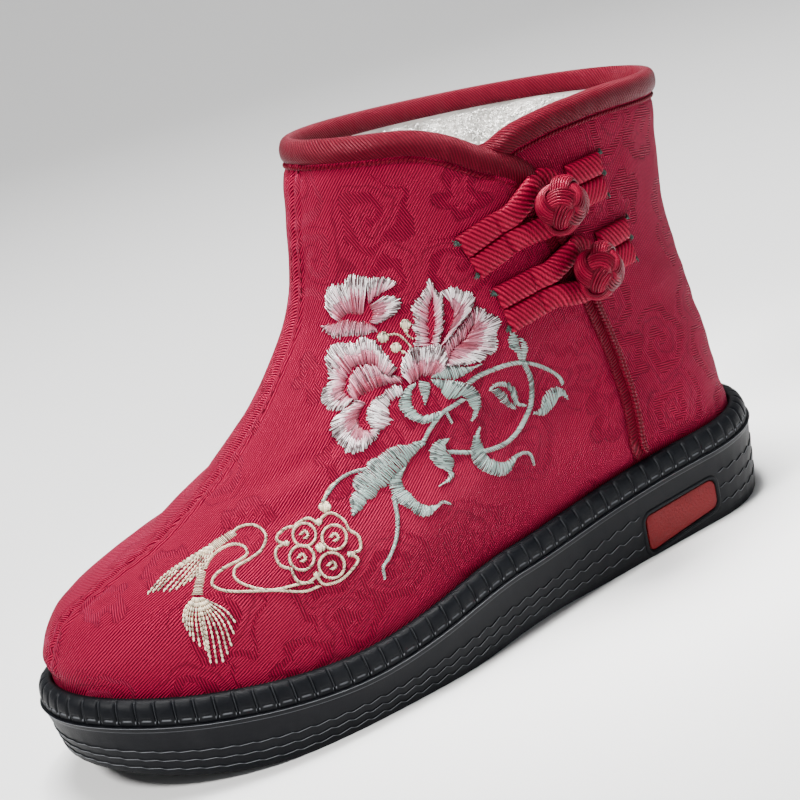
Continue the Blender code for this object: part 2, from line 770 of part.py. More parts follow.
def build_frog(name, along, rise, loop_slope, tail_slope):
    """One closure: the loop's two tapes round the knot's neck, the knot, and its own stem."""
    patch = Patch(along, rise, math.radians(loop_slope))
    arm = FROG_BAND / 2 + CLEARANCE / 2
    eye = NECK_DIAMETER / 2 + CLEARANCE + FROG_BAND / 2
    turn = np.linspace(math.pi / 2, -math.pi / 2, BEND_STATIONS)
    bend = np.stack([eye * np.cos(turn), eye * np.sin(turn)], -1)
    straight = np.linspace(-FROG_LOOP, 0, ARM_STATIONS)[:-1]
    upper_arm = np.stack([straight, mix(arm, eye, ease(1 + straight / EYE_START))], -1)
    path = np.concatenate([upper_arm, bend, upper_arm[::-1] * (1, -1)])
    points, faces = band(patch, path, FROG_BAND)
    make_solid(f"frog_loop_{name}", points, faces, SATIN_RED, SATIN_ROUGHNESS)

    start = eye + FROG_BAND / 2 + 2 * CLEARANCE
    path = np.stack([np.linspace(start, FROG_TAIL, TAIL_STATIONS), np.zeros(TAIL_STATIONS)], -1)
    tail = Patch(along, rise, math.radians(tail_slope))
    points, faces = band(tail, path, 2 * FROG_BAND + CLEARANCE)
    make_solid(f"frog_tail_{name}", points, faces, SATIN_RED, SATIN_ROUGHNESS)

    base = float(clear_lift(np.array([patch.angle]), np.array([rise]))[0])
    points, faces = knot(patch, base)
    make_solid(f"frog_button_{name}", points, faces, SATIN_RED, SATIN_ROUGHNESS)


def knot(patch, base):
    """The ball of the knot with its neck, which stands through the eye of the loop."""
    turn = np.linspace(0, 2 * math.pi, KNOT_SIDES, endpoint=False)
    tall = np.linspace(-math.pi / 2, math.pi / 2, KNOT_RINGS)
    middle = base + FROG_THICKNESS + CLEARANCE + KNOT_THICKNESS / 2
    profile = [(NECK_DIAMETER / 2, base + 2 * CLEARANCE)]
    for at in tall[:-1]:
        radius = KNOT_DIAMETER / 2 * math.cos(at)
        height = middle + KNOT_THICKNESS / 2 * math.sin(at)
        profile.append((max(radius, NECK_DIAMETER / 2 if at < 0 else 0), height))
    rings = []
    for radius, height in profile:
        ring = np.outer(np.cos(turn), patch.ahead) + np.outer(np.sin(turn), patch.across)
        rings.append(patch.centre + patch.normal * height + ring * radius)
    points = np.concatenate(rings + [[patch.centre + patch.normal * (middle + KNOT_THICKNESS / 2)]])
    faces = ring_faces(len(rings), KNOT_SIDES)
    faces.append(tuple(range(KNOT_SIDES))[::-1])
    last = (len(rings) - 1) * KNOT_SIDES
    top = len(rings) * KNOT_SIDES
    for side in range(KNOT_SIDES):
        faces.append((last + side, last + (side + 1) % KNOT_SIDES, top))
    return points, faces


def main():
    for old in list(bpy.data.objects):
        bpy.data.objects.remove(old)
    build_outsole()
    build_badge()
    build_welt()
    build_insole()
    build_upper()
    build_collar_binding()
    build_slit_binding()
    for frog in zip(*FROGS.values()):
        build_frog(*frog)


if __name__ == "__main__":
    main()
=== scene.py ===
"""Looks of a padded cloth ankle boot for the left foot: brocade, satin, fleece, embroidery and rubber.

Sizes are in metres. +X runs to the toe, +Y to the outer side and +Z up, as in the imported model. The
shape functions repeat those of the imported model, so that each piece lies on the solid it dresses.
"""

import math

import bmesh
import bpy
import numpy as np
from mathutils import Matrix, Vector
from mathutils.bvhtree import BVHTree


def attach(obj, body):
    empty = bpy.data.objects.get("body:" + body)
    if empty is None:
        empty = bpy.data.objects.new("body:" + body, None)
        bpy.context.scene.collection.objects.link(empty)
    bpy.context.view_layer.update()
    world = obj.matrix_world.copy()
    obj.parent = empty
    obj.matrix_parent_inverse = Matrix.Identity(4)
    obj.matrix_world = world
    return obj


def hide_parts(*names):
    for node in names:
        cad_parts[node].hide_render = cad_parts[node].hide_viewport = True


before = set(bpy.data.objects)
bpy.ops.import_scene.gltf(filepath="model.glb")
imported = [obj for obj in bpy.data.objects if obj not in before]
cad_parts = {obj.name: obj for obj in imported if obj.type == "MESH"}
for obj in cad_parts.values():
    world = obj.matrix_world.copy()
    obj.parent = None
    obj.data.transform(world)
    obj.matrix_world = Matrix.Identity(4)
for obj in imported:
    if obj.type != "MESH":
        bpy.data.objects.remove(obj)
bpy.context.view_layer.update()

bl_info = {
    "name": "Padded cloth ankle boot",
    "version": (1, 0, 0),
    "blender": (4, 5, 0),
    "location": "View3D > Sidebar > Boot",
    "description": "Dresses a padded cloth boot in brocade, satin, fleece, embroidery and rubber",
    "category": "Object",
}

# Sole and footbed
SOLE_LENGTH = 0.262
SOLE_WIDTH = 0.101
HEEL_TOP = 0.0325
WAIST_TOP = 0.0288
BALL_TOP = 0.0226
TOE_TOP = 0.0350
TOE_INFLARE = 0.0050
SIDE_SHIFT = 0.0007
INFLARE_START = 0.45
INFLARE_POWER = 1.5
HEEL_ROUND = 0.14
TOE_ROUND = 0.24
HEEL_FULLNESS = 2.1
TOE_FULLNESS = 2.2
SLOPE_STEP = 1e-3
CLEARANCE = 0.0003

# Welt
WELT_HEIGHT = 0.0075
WELT_DEPTH = 0.0048
WELT_INSET = 0.0010

# Upper
WALL = 0.0030
BACK_HEIGHT = 0.1475
FRONT_HEIGHT = 0.1650
COLLAR_BACK = 0.1269
COLLAR_WIDTH = 0.0736
ANKLE_WIDTH = 0.0660
VAMP_WIDTH = 0.0880
SEAT_INSET = 0.0062
OVAL_FULLNESS = 2.15
BACK_RISE = 1.05
LEVEL_SHARE = 0.25
SEAT_SHARE = 0.062
SWELL_SHARE = 0.065
NEAR_RIM = 0.98
NORMAL_STEP = 4e-3
INSOLE_THICKNESS = 0.0030

# Bindings and the front panel's lap
BINDING_HEIGHT = 0.0070
NOTCH_DIP = 0.0106
LAP_STEP = 0.0012
LAP_FADE = 0.0300
SLIT_WIDTH = 0.0052
SLIT_THICKNESS = 0.0014
SLIT_BOTTOM = 0.10

# Frog closures
FROG_BAND = 0.0076
FROG_THICKNESS = 0.0022
FROG_LOOP = 0.0300
FROG_TAIL = 0.0255
EYE_START = 0.0130
KNOT_DIAMETER = 0.0182
KNOT_THICKNESS = 0.0126
NECK_DIAMETER = 0.0056
SOLVE_STEPS = 5

# Tables of the shape: half widths of the sole, height of the welt's top, front and back lines
OUTLINE = {
    "along": (0.00, 0.15, 0.30, 0.45, 0.60, 0.70, 0.80, 0.90, 1.00),
    "outer": (0.70, 0.72, 0.76, 0.87, 0.985, 1.00, 0.96, 0.88, 0.80),
    "inner": (0.70, 0.70, 0.67, 0.71, 0.86, 0.97, 1.00, 0.97, 0.90),
}
TOP_LINE = {
    "along": (0.00, 0.20, 0.45, 0.68, 0.86, 1.00),
    "heel": (1.0, 0.985, 0.0, 0.0, 0.0, 0.0),
    "waist": (0.0, 0.0, 1.0, 0.0, 0.0, 0.0),
    "ball": (0.0, 0.0, 0.0, 1.0, 0.60, 0.0),
    "toe": (0.0, 0.0, 0.0, 0.0, 0.405, 1.0),
}
FRONT_LINE = {
    "share": (0.0, 0.10, 0.18, 0.27, 0.40, 0.50, 0.61, 0.72, 0.86, 1.0),
    "forward": (0.943, 0.963, 0.915, 0.803, 0.603, 0.428, 0.253, 0.131, 0.071, 0.011),
    "rise": (-0.055, 0.047, 0.129, 0.175, 0.234, 0.319, 0.458, 0.611, 0.806, 1.0),
}
BACK_LINE = {
    "share": (0.0, 0.25, 0.45, 0.65, 0.82, 1.0),
    "behind": (0.973, 0.976, 0.961, 0.950, 0.973, 1.0),
}
SECTIONS = {
    "share": (0.0, 0.12, 0.30, 0.50, 0.70, 0.85, 1.0),
    "vamp": (0.99, 1.01, 0.91, 0.50, 0.0, 0.0, 0.0),
    "ankle": (0.0, 0.0, 0.0, 0.42, 1.0, 0.80, 0.0),
    "collar": (0.0, 0.0, 0.0, 0.0, 0.0, 0.20, 1.0),
}
OVAL = {
    "share": (0.0, 0.15, 0.40, 0.60, 0.80, 1.0),
    "turned": (0.0, 0.10, 0.50, 0.80, 1.0, 1.0),
}
LAP = {
    "rise": (0.0, 0.17, 0.36, 0.56, 0.73, 0.85, 0.92, 1.0),
    "along": (0.207, 0.210, 0.237, 0.315, 0.425, 0.50, 0.547, 0.633),
}
NOTCH = {
    "along": (0.0, 0.25, 0.40, 0.545, 0.633, 0.735, 0.83, 1.0),
    "dip": (0.0, 0.0, 0.14, 0.50, 1.0, 0.39, 0.08, 0.0),
}
FROGS = {
    "name": ("upper", "lower"),
    "along": (0.485, 0.379),
    "rise": (0.840, 0.654),
    "loop_slope": (16.0, 5.0),
    "tail_slope": (0.0, 1.0),
}

# Camera: degrees from +Y towards +X, above the floor and rolled; metres to the point it looks at
VIEW_AZIMUTH = 26.37
VIEW_ELEVATION = 17.33
VIEW_ROLL = -16.18
VIEW_DISTANCE = 0.6781
VIEW_ACROSS = -0.0038
VIEW_UP = -0.0159
VIEW_HEIGHT = 0.060
VIEW_FOCUS = 2119.2
PICTURE = 800
SENSOR = 36.0


# Curves and tables


def smooth(at, keys, values):
    """Monotone cubic curve through the rows of a table."""
    keys, values = np.asarray(keys, float), np.asarray(values, float)
    steps = np.diff(keys)
    slopes = np.diff(values) / steps
    tangents = np.zeros(len(keys))
    tangents[0], tangents[-1] = slopes[0], slopes[-1]
    for i in range(1, len(keys) - 1):
        before, after = slopes[i - 1], slopes[i]
        if before * after > 0:
            first = 2 * steps[i] + steps[i - 1]
            second = steps[i] + 2 * steps[i - 1]
            tangents[i] = (first + second) / (first / before + second / after)
    at = np.clip(np.asarray(at, float), keys[0], keys[-1])
    i = np.clip(np.searchsorted(keys, at, side="right") - 1, 0, len(steps) - 1)
    t = (at - keys[i]) / steps[i]
    return (
        values[i] * (1 + 2 * t) * (1 - t) ** 2
        + values[i + 1] * t**2 * (3 - 2 * t)
        + tangents[i] * steps[i] * t * (1 - t) ** 2
        - tangents[i + 1] * steps[i] * t**2 * (1 - t)
    )


def read(table, column, at):
    """A column of a table, at a place along its first column."""
    return smooth(at, next(iter(table.values())), table[column])


def ease(share):
    share = np.clip(share, 0.0, 1.0)
    return share * share * (3 - 2 * share)


def mix(first, second, share):
    return first + (second - first) * share


def unit(vectors):
    return vectors / np.maximum(np.linalg.norm(vectors, axis=-1, keepdims=True), 1e-12)


def spread(count, crowding):
    """Shares from 0 to 1 that crowd towards both ends."""
    t = np.linspace(0, 1, count)
    return t - crowding * np.sin(2 * math.pi * t) / (2 * math.pi)


def along_length(points):
    """Distance along a row of points."""
    steps = np.linalg.norm(np.diff(points, axis=0), axis=-1)
    return np.concatenate([[0], np.cumsum(steps)])


def at_lengths(even, length, points):
    """Points of a path at the given distances along it."""
    return np.stack([np.interp(even, length, column) for column in points.T], -1)


def softened(points, reach):
    """Points averaged with their neighbours, up to that many places away."""
    kernel = np.hanning(2 * reach + 3)[1:-1]
    padded = np.pad(points, ((reach, reach), (0, 0)), mode="edge")
    return np.stack([np.convolve(column, kernel / kernel.sum(), "valid") for column in padded.T], -1)


def through(points, steps, closed=False):
    """A smooth curve that passes through points, with that many steps from each to the next."""
    if closed:
        ends = np.concatenate([points[-1:], points, points[:2]])
    else:
        ends = np.concatenate([[2 * points[0] - points[1]], points, [2 * points[-1] - points[-2]]])
    t = np.linspace(0, 1, steps, endpoint=False)[:, None]
    return np.concatenate([
        0.5 * (2 * here + (after - before) * t + (2 * before - 5 * here + 4 * after - beyond) * t**2
               + (3 * here - before - 3 * after + beyond) * t**3)
        for before, here, after, beyond in zip(ends, ends[1:], ends[2:], ends[3:])
    ])


def wander(seed, where, pitch):
    """Smooth random waves over a place in two or three directions, about -1 to 1."""
    random = np.random.default_rng(seed)
    where = np.asarray(where, float)
    total = np.zeros(where.shape[:-1])
    for octave in range(3):
        for _ in range(5):
            way = random.normal(size=where.shape[-1])
            way /= np.linalg.norm(way)
            reach = pitch / 2**octave * random.uniform(0.8, 1.25)
            phase = random.uniform(0, 2 * math.pi)
            total += np.sin(where @ way * 2 * math.pi / reach + phase) / 2**octave
    return total / 5


# Shape of the boot


def along_of(angle):
    """Share of the way from heel to toe. The angle is 0 at the heel and pi at the toe."""
    return (1 - np.cos(angle)) / 2


def half_width(angle):
    """Signed half width as a share of the widest half; the outer side is positive."""
    along = along_of(angle)
    outer = np.sin(angle) >= 0
    side = np.where(outer, read(OUTLINE, "outer", along), -read(OUTLINE, "inner", along))
    heel = np.clip((HEEL_ROUND - along) / HEEL_ROUND, 0, 1)
    toe = np.clip((along - 1 + TOE_ROUND) / TOE_ROUND, 0, 1)
    heel_end = np.clip(1 - heel**HEEL_FULLNESS, 0, 1) ** (1 / HEEL_FULLNESS)
    toe_end = np.clip(1 - toe**TOE_FULLNESS, 0, 1) ** (1 / TOE_FULLNESS)
    return side * heel_end * toe_end


def centre_line(x):
    """The toe turns to the inner side."""
    forward = np.clip((x / SOLE_LENGTH + 0.5 - INFLARE_START) / (1 - INFLARE_START), 0, 1)
    return SIDE_SHIFT - TOE_INFLARE * forward**INFLARE_POWER


def outline(angle, inset=0.0):
    """Points of the sole's outline, moved inwards by the inset."""

    def edge(at):
        x = (along_of(at) - 0.5) * SOLE_LENGTH
        return np.stack([x, half_width(at) * SOLE_WIDTH / 2 + centre_line(x)], -1)

    angle = np.asarray(angle, float)
    ahead = unit(edge(angle + SLOPE_STEP) - edge(angle - SLOPE_STEP))
    inwards = np.stack([ahead[..., 1], -ahead[..., 0]], -1)
    return edge(angle) + inwards * np.asarray(inset, float)[..., None]


def top_height(along):
    sizes = {"heel": HEEL_TOP, "waist": WAIST_TOP, "ball": BALL_TOP, "toe": TOE_TOP}
    return sum(size * read(TOP_LINE, name, along) for name, size in sizes.items())


def seat_height(along):
    """Height of the footbed, where welt, upper and insole sit."""
    return top_height(along) - WELT_HEIGHT


def even_angles(columns):
    """Angles that part the outline into equal steps, from the heel round the outer side."""
    fine = np.linspace(0, 2 * math.pi, 2881)
    length = along_length(outline(fine))
    return np.interp(np.linspace(0, length[-1], columns, endpoint=False), length, fine)


def outer_angle(x):
    """Angle of the outline's point on the outer side at a place along the sole."""
    return np.arccos(np.clip(1 - 2 * (x / SOLE_LENGTH + 0.5), -1, 1))


def section_point(angle, share):
    """Outer surface of the upper over the seat: its sections run from back to front."""
    along = along_of(angle)
    front_x = SOLE_LENGTH / 2 * read(FRONT_LINE, "forward", share)
    front_z = TOE_TOP + (FRONT_HEIGHT - TOE_TOP) * read(FRONT_LINE, "rise", share)
    back_x = -COLLAR_BACK * read(BACK_LINE, "behind", share)
    back_z = mix(seat_height(0.0), BACK_HEIGHT, share**BACK_RISE)
    sizes = {"vamp": VAMP_WIDTH / 2, "ankle": ANKLE_WIDTH / 2, "collar": COLLAR_WIDTH / 2}
    half = sum(size * read(SECTIONS, name, share) for name, size in sizes.items())
    side = np.where(np.sin(angle) >= 0, 1.0, -1.0)
    across = np.abs(2 * along - 1) ** OVAL_FULLNESS
    oval = side * np.clip(1 - across, 0, 1) ** (1 / OVAL_FULLNESS)
    x = mix(back_x, front_x, along)
    y = half * mix(half_width(angle), oval, read(OVAL, "turned", share)) + centre_line(x)
    level = mix(back_z, front_z, along)
    parallel = seat_height(along) - seat_height(0.0) + back_z
    return np.stack([x, y, mix(parallel, level, ease(share / LEVEL_SHARE))], -1)


def shell_point(angle, share):
    """Outer surface of the upper, upright inside the welt and then out to its sections."""
    angle, share = np.broadcast_arrays(np.asarray(angle, float), np.asarray(share, float))
    along = along_of(angle)
    climb = share / SEAT_SHARE * WELT_HEIGHT
    place = outline(angle, np.full(angle.shape, SEAT_INSET))
    height = seat_height(along) + CLEARANCE + climb
    seat = np.concatenate([place, height[..., None]], axis=-1)
    out = ease((share - SEAT_SHARE) / SWELL_SHARE)
    return mix(seat, section_point(angle, share), out[..., None])


def edge_share(angle):
    """Share at which the cloth ends under the collar's binding, with the notch's dip."""
    run = shell_point(angle, 1.0) - shell_point(angle, NEAR_RIM)
    climb = np.linalg.norm(run, axis=-1) / (1 - NEAR_RIM)
    dip = NOTCH_DIP * np.where(np.sin(angle) > 0, read(NOTCH, "dip", along_of(angle)), 0.0)
    return 1 - (BINDING_HEIGHT + CLEARANCE + dip) / climb


def share_at(angle, rise):
    """Rise runs from 0 at the footbed to 1 at the cloth's edge."""
    return rise - (1 - edge_share(angle)) * rise**3


def lap_angle(rise):
    return outer_angle((read(LAP, "along", rise) - 0.5) * SOLE_LENGTH)


def past_lap(angle, rise):
    """Distance in front of the front panel's edge, along the section."""
    ahead = along_of(angle) - read(LAP, "along", rise)
    share = share_at(angle, rise)
    front_x = SOLE_LENGTH / 2 * read(FRONT_LINE, "forward", share)
    length = front_x + COLLAR_BACK * read(BACK_LINE, "behind", share)
    return np.where(np.sin(angle) > 0, ahead, along_of(angle) + 1) * length


def lap_lift(distance, rise):
    """Extra thickness of the front panel where it laps over the back panel, above the welt."""
    lap = LAP_STEP * (1 - ease(distance / LAP_FADE))
    return np.where(distance >= 0, lap, 0.0) * ease((rise - SEAT_SHARE) / SWELL_SHARE)


def upper_normal(angle, rise):
    def place(at, height):
        return shell_point(at, share_at(at, height))

    up = place(angle, rise + NORMAL_STEP) - place(angle, np.maximum(rise - NORMAL_STEP, 0))
    ahead = place(angle + NORMAL_STEP, rise) - place(angle - NORMAL_STEP, rise)
    return unit(np.cross(up, ahead))


def upper_point(angle, rise, lift=0.0):
    """A point on the shell, moved outwards along its normal."""
    angle, rise = np.broadcast_arrays(np.asarray(angle, float), np.asarray(rise, float))
    here = shell_point(angle, share_at(angle, rise))
    lift = np.broadcast_to(np.asarray(lift, float), angle.shape)
    return here + upper_normal(angle, rise) * lift[..., None]


# Meshes

TOUCHING = 1e-6


def in_scene(name, data):
    item = bpy.data.objects.new(name, data)
    bpy.context.scene.collection.objects.link(item)
    return item


def add_piece(mesh, name, *materials):
    """An object of the scene with its materials."""
    for material in materials:
        mesh.materials.append(material)
    return in_scene(name, mesh)


def grid_quads(rows, columns, round_columns=False, round_rows=False):
    """Corner numbers of the quads of a grid, and of the same quads with unwrapped columns."""
    row = np.arange(rows if round_rows else rows - 1)[:, None]
    column = np.arange(columns if round_columns else columns - 1)[None, :]
    low, high = row + 0 * column, (row + 1) % rows + 0 * column
    here, after = column + 0 * row, column + 1 + 0 * row
    corners = [(low, here), (low, after), (high, after), (high, here)]
    quads = np.stack([r * columns + c % columns for r, c in corners], -1).reshape(-1, 4)
    wide = columns + 1
    flat = np.stack([r * wide + c for r, c in corners], -1).reshape(-1, 4)
    return quads, flat


def grid_mesh(name, points, uv=None, round_columns=False, round_rows=False, flip=False):
    """A mesh from a grid of points, with a UV map in metres that has one more column."""
    rows, columns = points.shape[:2]
    quads, flat = grid_quads(rows, columns, round_columns, round_rows)
    if flip:
        quads, flat = quads[:, ::-1], flat[:, ::-1]
    mesh = bpy.data.meshes.new(name)
    mesh.vertices.add(rows * columns)
    mesh.vertices.foreach_set("co", points.reshape(-1).astype(np.float32))
    mesh.loops.add(quads.size)
    mesh.loops.foreach_set("vertex_index", quads.reshape(-1).astype(np.int32))
    mesh.polygons.add(len(quads))
    mesh.polygons.foreach_set("loop_start", np.arange(0, quads.size, 4, dtype=np.int32))
    mesh.update(calc_edges=True)
    if uv is not None:
        lay_map(mesh, uv.reshape(-1, 2)[flat.reshape(-1)])
    mesh.shade_smooth()
    return mesh


def lay_map(mesh, corners):
    """A UV map from the places of a mesh's face corners."""
    layer = mesh.uv_layers.new(name="UVMap")
    layer.data.foreach_set("uv", corners.reshape(-1).astype(np.float32))


def mark(mesh, name, values):
    """A named number or vector on each point of a mesh."""
    values = np.asarray(values, np.float32)
    kind, key = ("FLOAT_VECTOR", "vector") if values.ndim == 2 else ("FLOAT", "value")
    mesh.attributes.new(name, kind, "POINT").data.foreach_set(key, values.reshape(-1))


def mend(mesh, *steps):
    """Runs steps on a mesh's faces, turns them outwards and smooths them."""
    built = bmesh.new()
    built.from_mesh(mesh)
    for step in steps:
        step(built)
    bmesh.ops.recalc_face_normals(built, faces=built.faces)
    built.to_mesh(mesh)
    built.free()
    mesh.shade_smooth()


def merge_points(built):
    bmesh.ops.remove_doubles(built, verts=built.verts, dist=TOUCHING)


def fill_holes(built):
    bmesh.ops.holes_fill(built, edges=built.edges)


def close_ends(mesh, columns):
    """Faces over the first and the last ring of a tube whose rings have that many points."""

    def cap(built):
        corners = list(built.verts)
        built.faces.new(corners[:columns][::-1])
        built.faces.new(corners[-columns:])

    mend(mesh, cap)


def line_mesh(name, lines, **values):
    """Loose polylines as one mesh of edges, with named numbers or vectors on their points."""
    points = np.concatenate(lines)
    edges, start = [], 0
    for line in lines:
        count = len(line)
        edges.append(np.stack([np.arange(start, start + count - 1)] * 2, -1) + (0, 1))
        start += count
    mesh = bpy.data.meshes.new(name)
    mesh.from_pydata(points.tolist(), np.concatenate(edges).tolist(), [])
    for title, rows in values.items():
        mark(mesh, title, np.concatenate(rows))
    return mesh


def made_plain(source, name, tree, material, **inputs):
    """Runs a node tree on a mesh and keeps what it makes as a plain mesh object."""
    carrier = in_scene(name, source)
    modifier = carrier.modifiers.new(name, "NODES")
    modifier.node_group = bpy.data.node_groups[tree]
    inputs["Material"] = material
    for item in modifier.node_group.interface.items_tree:
        if item.in_out == "INPUT" and item.name in inputs:
            modifier[item.identifier] = inputs[item.name]
    graph = bpy.context.evaluated_depsgraph_get()
    mesh = bpy.data.meshes.new_from_object(
        carrier.evaluated_get(graph), preserve_all_data_layers=True, depsgraph=graph
    )
    bpy.data.objects.remove(carrier)
    mesh.name = name
    return add_piece(mesh, name, *([] if mesh.materials else [material]))


def dress(piece, slot, *nodes):
    """Sends a finished piece with the boot, in the place of CAD nodes where it stands for them."""
    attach(piece, "root")
    if nodes:
        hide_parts(*nodes)


# Node trees

THREADS = "threads along lines"
STITCHES = "stitches along lines"
PILE = "pile on a surface"
WEAVE = "twill weave"
FIGURE = "jacquard figure"
GRAIN = "surface grain"


def new_tree(name, kind, outputs, inputs):
    """A node tree with its sockets. An input has its default, or the name of its type if it has none."""
    tree = bpy.data.node_groups.new(name, kind + "NodeTree")
    for title, default in inputs.items():
        bare = isinstance(default, str)
        socket = "NodeSocket" + (default if bare else type(default).__name__.capitalize())
        made = tree.interface.new_socket(title, in_out="INPUT", socket_type=socket)
        if not bare:
            made.default_value = default
    for title in outputs:
        socket = "NodeSocketGeometry" if kind == "Geometry" else "NodeSocketFloat"
        tree.interface.new_socket(title, in_out="OUTPUT", socket_type=socket)
    start = tree.nodes.new("NodeGroupInput")
    return tree, start.outputs, tree.nodes.new("NodeGroupOutput")


def end_tree(tree, end, shape, material):
    """Ends a geometry tree: real faces, smooth, in one material."""
    real = node(tree, "GeometryNodeRealizeInstances", {0: shape})
    soft = node(tree, "GeometryNodeSetShadeSmooth", {0: real.outputs[0]})
    done = node(tree, "GeometryNodeSetMaterial", {"Geometry": soft.outputs[0], "Material": material})
    tree.links.new(done.outputs[0], end.inputs[0])


def node(tree, kind, links=None, **settings):
    """A node with its settings; links maps input names or numbers to sockets or values."""
    made = tree.nodes.new(kind)
    for title, value in settings.items():
        setattr(made, title, value)
    for title, value in (links or {}).items():
        if isinstance(value, bpy.types.NodeSocket):
            tree.links.new(value, made.inputs[title])
        else:
            made.inputs[title].default_value = value
    return made


def maths(tree, operation, first, second=None, third=None, clamp=False):
    """A Math node's result."""
    links = {i: value for i, value in enumerate((first, second, third)) if value is not None}
    return node(tree, "ShaderNodeMath", links, operation=operation, use_clamp=clamp).outputs[0]


def vector_maths(tree, operation, first, second=None, third=None):
    """A Vector Math node's result; to scale a vector, the second value is its factor."""
    second_name = "Scale" if operation == "SCALE" else 1
    links = {i: value for i, value in ((0, first), (second_name, second), (2, third)) if value is not None}
    return node(tree, "ShaderNodeVectorMath", links, operation=operation).outputs[0]


def thread_tree():
    """Round threads along polylines, as thick as the value r on their points says."""
    tree, put, end = new_tree(
        THREADS, "Geometry", ["Threads"], {"Lines": "Geometry", "Sides": 5, "Material": "Material"}
    )
    lines = node(tree, "GeometryNodeMeshToCurve", {"Mesh": put["Lines"]})
    thickness = node(tree, "GeometryNodeInputNamedAttribute", {"Name": "r"}, data_type="FLOAT").outputs[0]
    sized = node(tree, "GeometryNodeSetCurveRadius", {"Curve": lines.outputs[0], "Radius": thickness})
    ring = node(tree, "GeometryNodeCurvePrimitiveCircle", {"Resolution": put["Sides"], "Radius": 1.0})
    links = {"Curve": sized.outputs[0], "Profile Curve": ring.outputs[0]}
    tubes = node(tree, "GeometryNodeCurveToMesh", {**links, "Scale": thickness, "Fill Caps": True})
    end_tree(tree, end, tubes.outputs[0], put["Material"])


def stitch_tree():
    """Stitches in a row along polylines: rounded bars that stand on the surface's normal."""
    tree, put, end = new_tree(STITCHES, "Geometry", ["Stitches"], {
        "Lines": "Geometry", "Pitch": 0.003, "Length": 0.0022, "Width": 0.0006, "Height": 0.0004,
        "Slant": 0.0, "Material": "Material",
    })
    lines = node(tree, "GeometryNodeMeshToCurve", {"Mesh": put["Lines"]})
    links = {"Curve": lines.outputs[0], "Length": put["Pitch"]}
    even = node(tree, "GeometryNodeResampleCurve", links, mode="LENGTH")
    bar = node(tree, "GeometryNodeMeshUVSphere", {"Segments": 8, "Rings": 6, "Radius": 0.5})
    sizes = node(tree, "ShaderNodeCombineXYZ", {0: put["Length"], 1: put["Width"], 2: put["Height"]})
    tilt = node(tree, "ShaderNodeCombineXYZ", {2: put["Slant"]})
    for change in (
        {"Rotation": (0.0, math.pi / 2, 0.0)}, {"Scale": sizes.outputs[0]}, {"Rotation": tilt.outputs[0]},
    ):
        bar = node(tree, "GeometryNodeTransform", {"Geometry": bar.outputs[0], **change})
    ahead = node(tree, "GeometryNodeInputTangent")
    normal = node(tree, "GeometryNodeInputNamedAttribute", {"Name": "out"}, data_type="FLOAT_VECTOR")
    first = node(tree, "FunctionNodeAlignRotationToVector", {"Vector": ahead.outputs[0]}, axis="X")
    links = {"Rotation": first.outputs[0], "Vector": normal.outputs["Attribute"]}
    second = node(tree, "FunctionNodeAlignRotationToVector", links, axis="Z", pivot_axis="X")
    links = {"Points": even.outputs[0], "Instance": bar.outputs[0], "Rotation": second.outputs[0]}
    rows = node(tree, "GeometryNodeInstanceOnPoints", links)
    end_tree(tree, end, rows.outputs[0], put["Material"])


def pile_tree():
    """Short curled tufts that stand on a surface, turned and sized at random."""
    tree, put, end = new_tree(PILE, "Geometry", ["Pile"], {
        "Surface": "Geometry", "Density": 1000.0, "Length": 0.003, "Thickness": 0.0003, "Curl": 0.8,
        "Seed": 1, "Material": "Material",
    })
    links = {"Mesh": put["Surface"], "Density": put["Density"], "Seed": put["Seed"]}
    spots = node(tree, "GeometryNodeDistributePointsOnFaces", links)
    lean = maths(tree, "MULTIPLY", put["Length"], put["Curl"])
    top = node(tree, "ShaderNodeCombineXYZ", {0: lean, 2: put["Length"]}).outputs[0]
    knee = maths(tree, "MULTIPLY", put["Length"], 0.6)
    bend = node(tree, "ShaderNodeCombineXYZ", {1: lean, 2: knee}).outputs[0]
    links = {"Resolution": 4, "Start": (0, 0, 0), "End": top, "Start Handle": bend, "End Handle": top}
    line = node(tree, "GeometryNodeCurvePrimitiveBezierSegment", links)
    ring = node(tree, "GeometryNodeCurvePrimitiveCircle", {"Resolution": 3, "Radius": put["Thickness"]})
    links = {"Curve": line.outputs[0], "Profile Curve": ring.outputs[0], "Fill Caps": True}
    tuft = node(tree, "GeometryNodeCurveToMesh", links)
    links = {0: (-0.7, -0.7, 0.0), 1: (0.7, 0.7, 2 * math.pi), "Seed": put["Seed"]}
    spin = node(tree, "FunctionNodeRandomValue", links, data_type="FLOAT_VECTOR")
    links = {"Rotation": spots.outputs["Rotation"], "Rotate By": spin.outputs[0]}
    turn = node(tree, "FunctionNodeRotateRotation", links, rotation_space="LOCAL")
    size = node(tree, "FunctionNodeRandomValue", {2: 0.6, 3: 1.25, "Seed": put["Seed"]}, data_type="FLOAT")
    links = {
        "Points": spots.outputs["Points"], "Instance": tuft.outputs[0], "Rotation": turn.outputs[0],
        "Scale": size.outputs[1],
    }
    tufts = node(tree, "GeometryNodeInstanceOnPoints", links)
    end_tree(tree, end, tufts.outputs[0], put["Material"])


# Shared shader groups


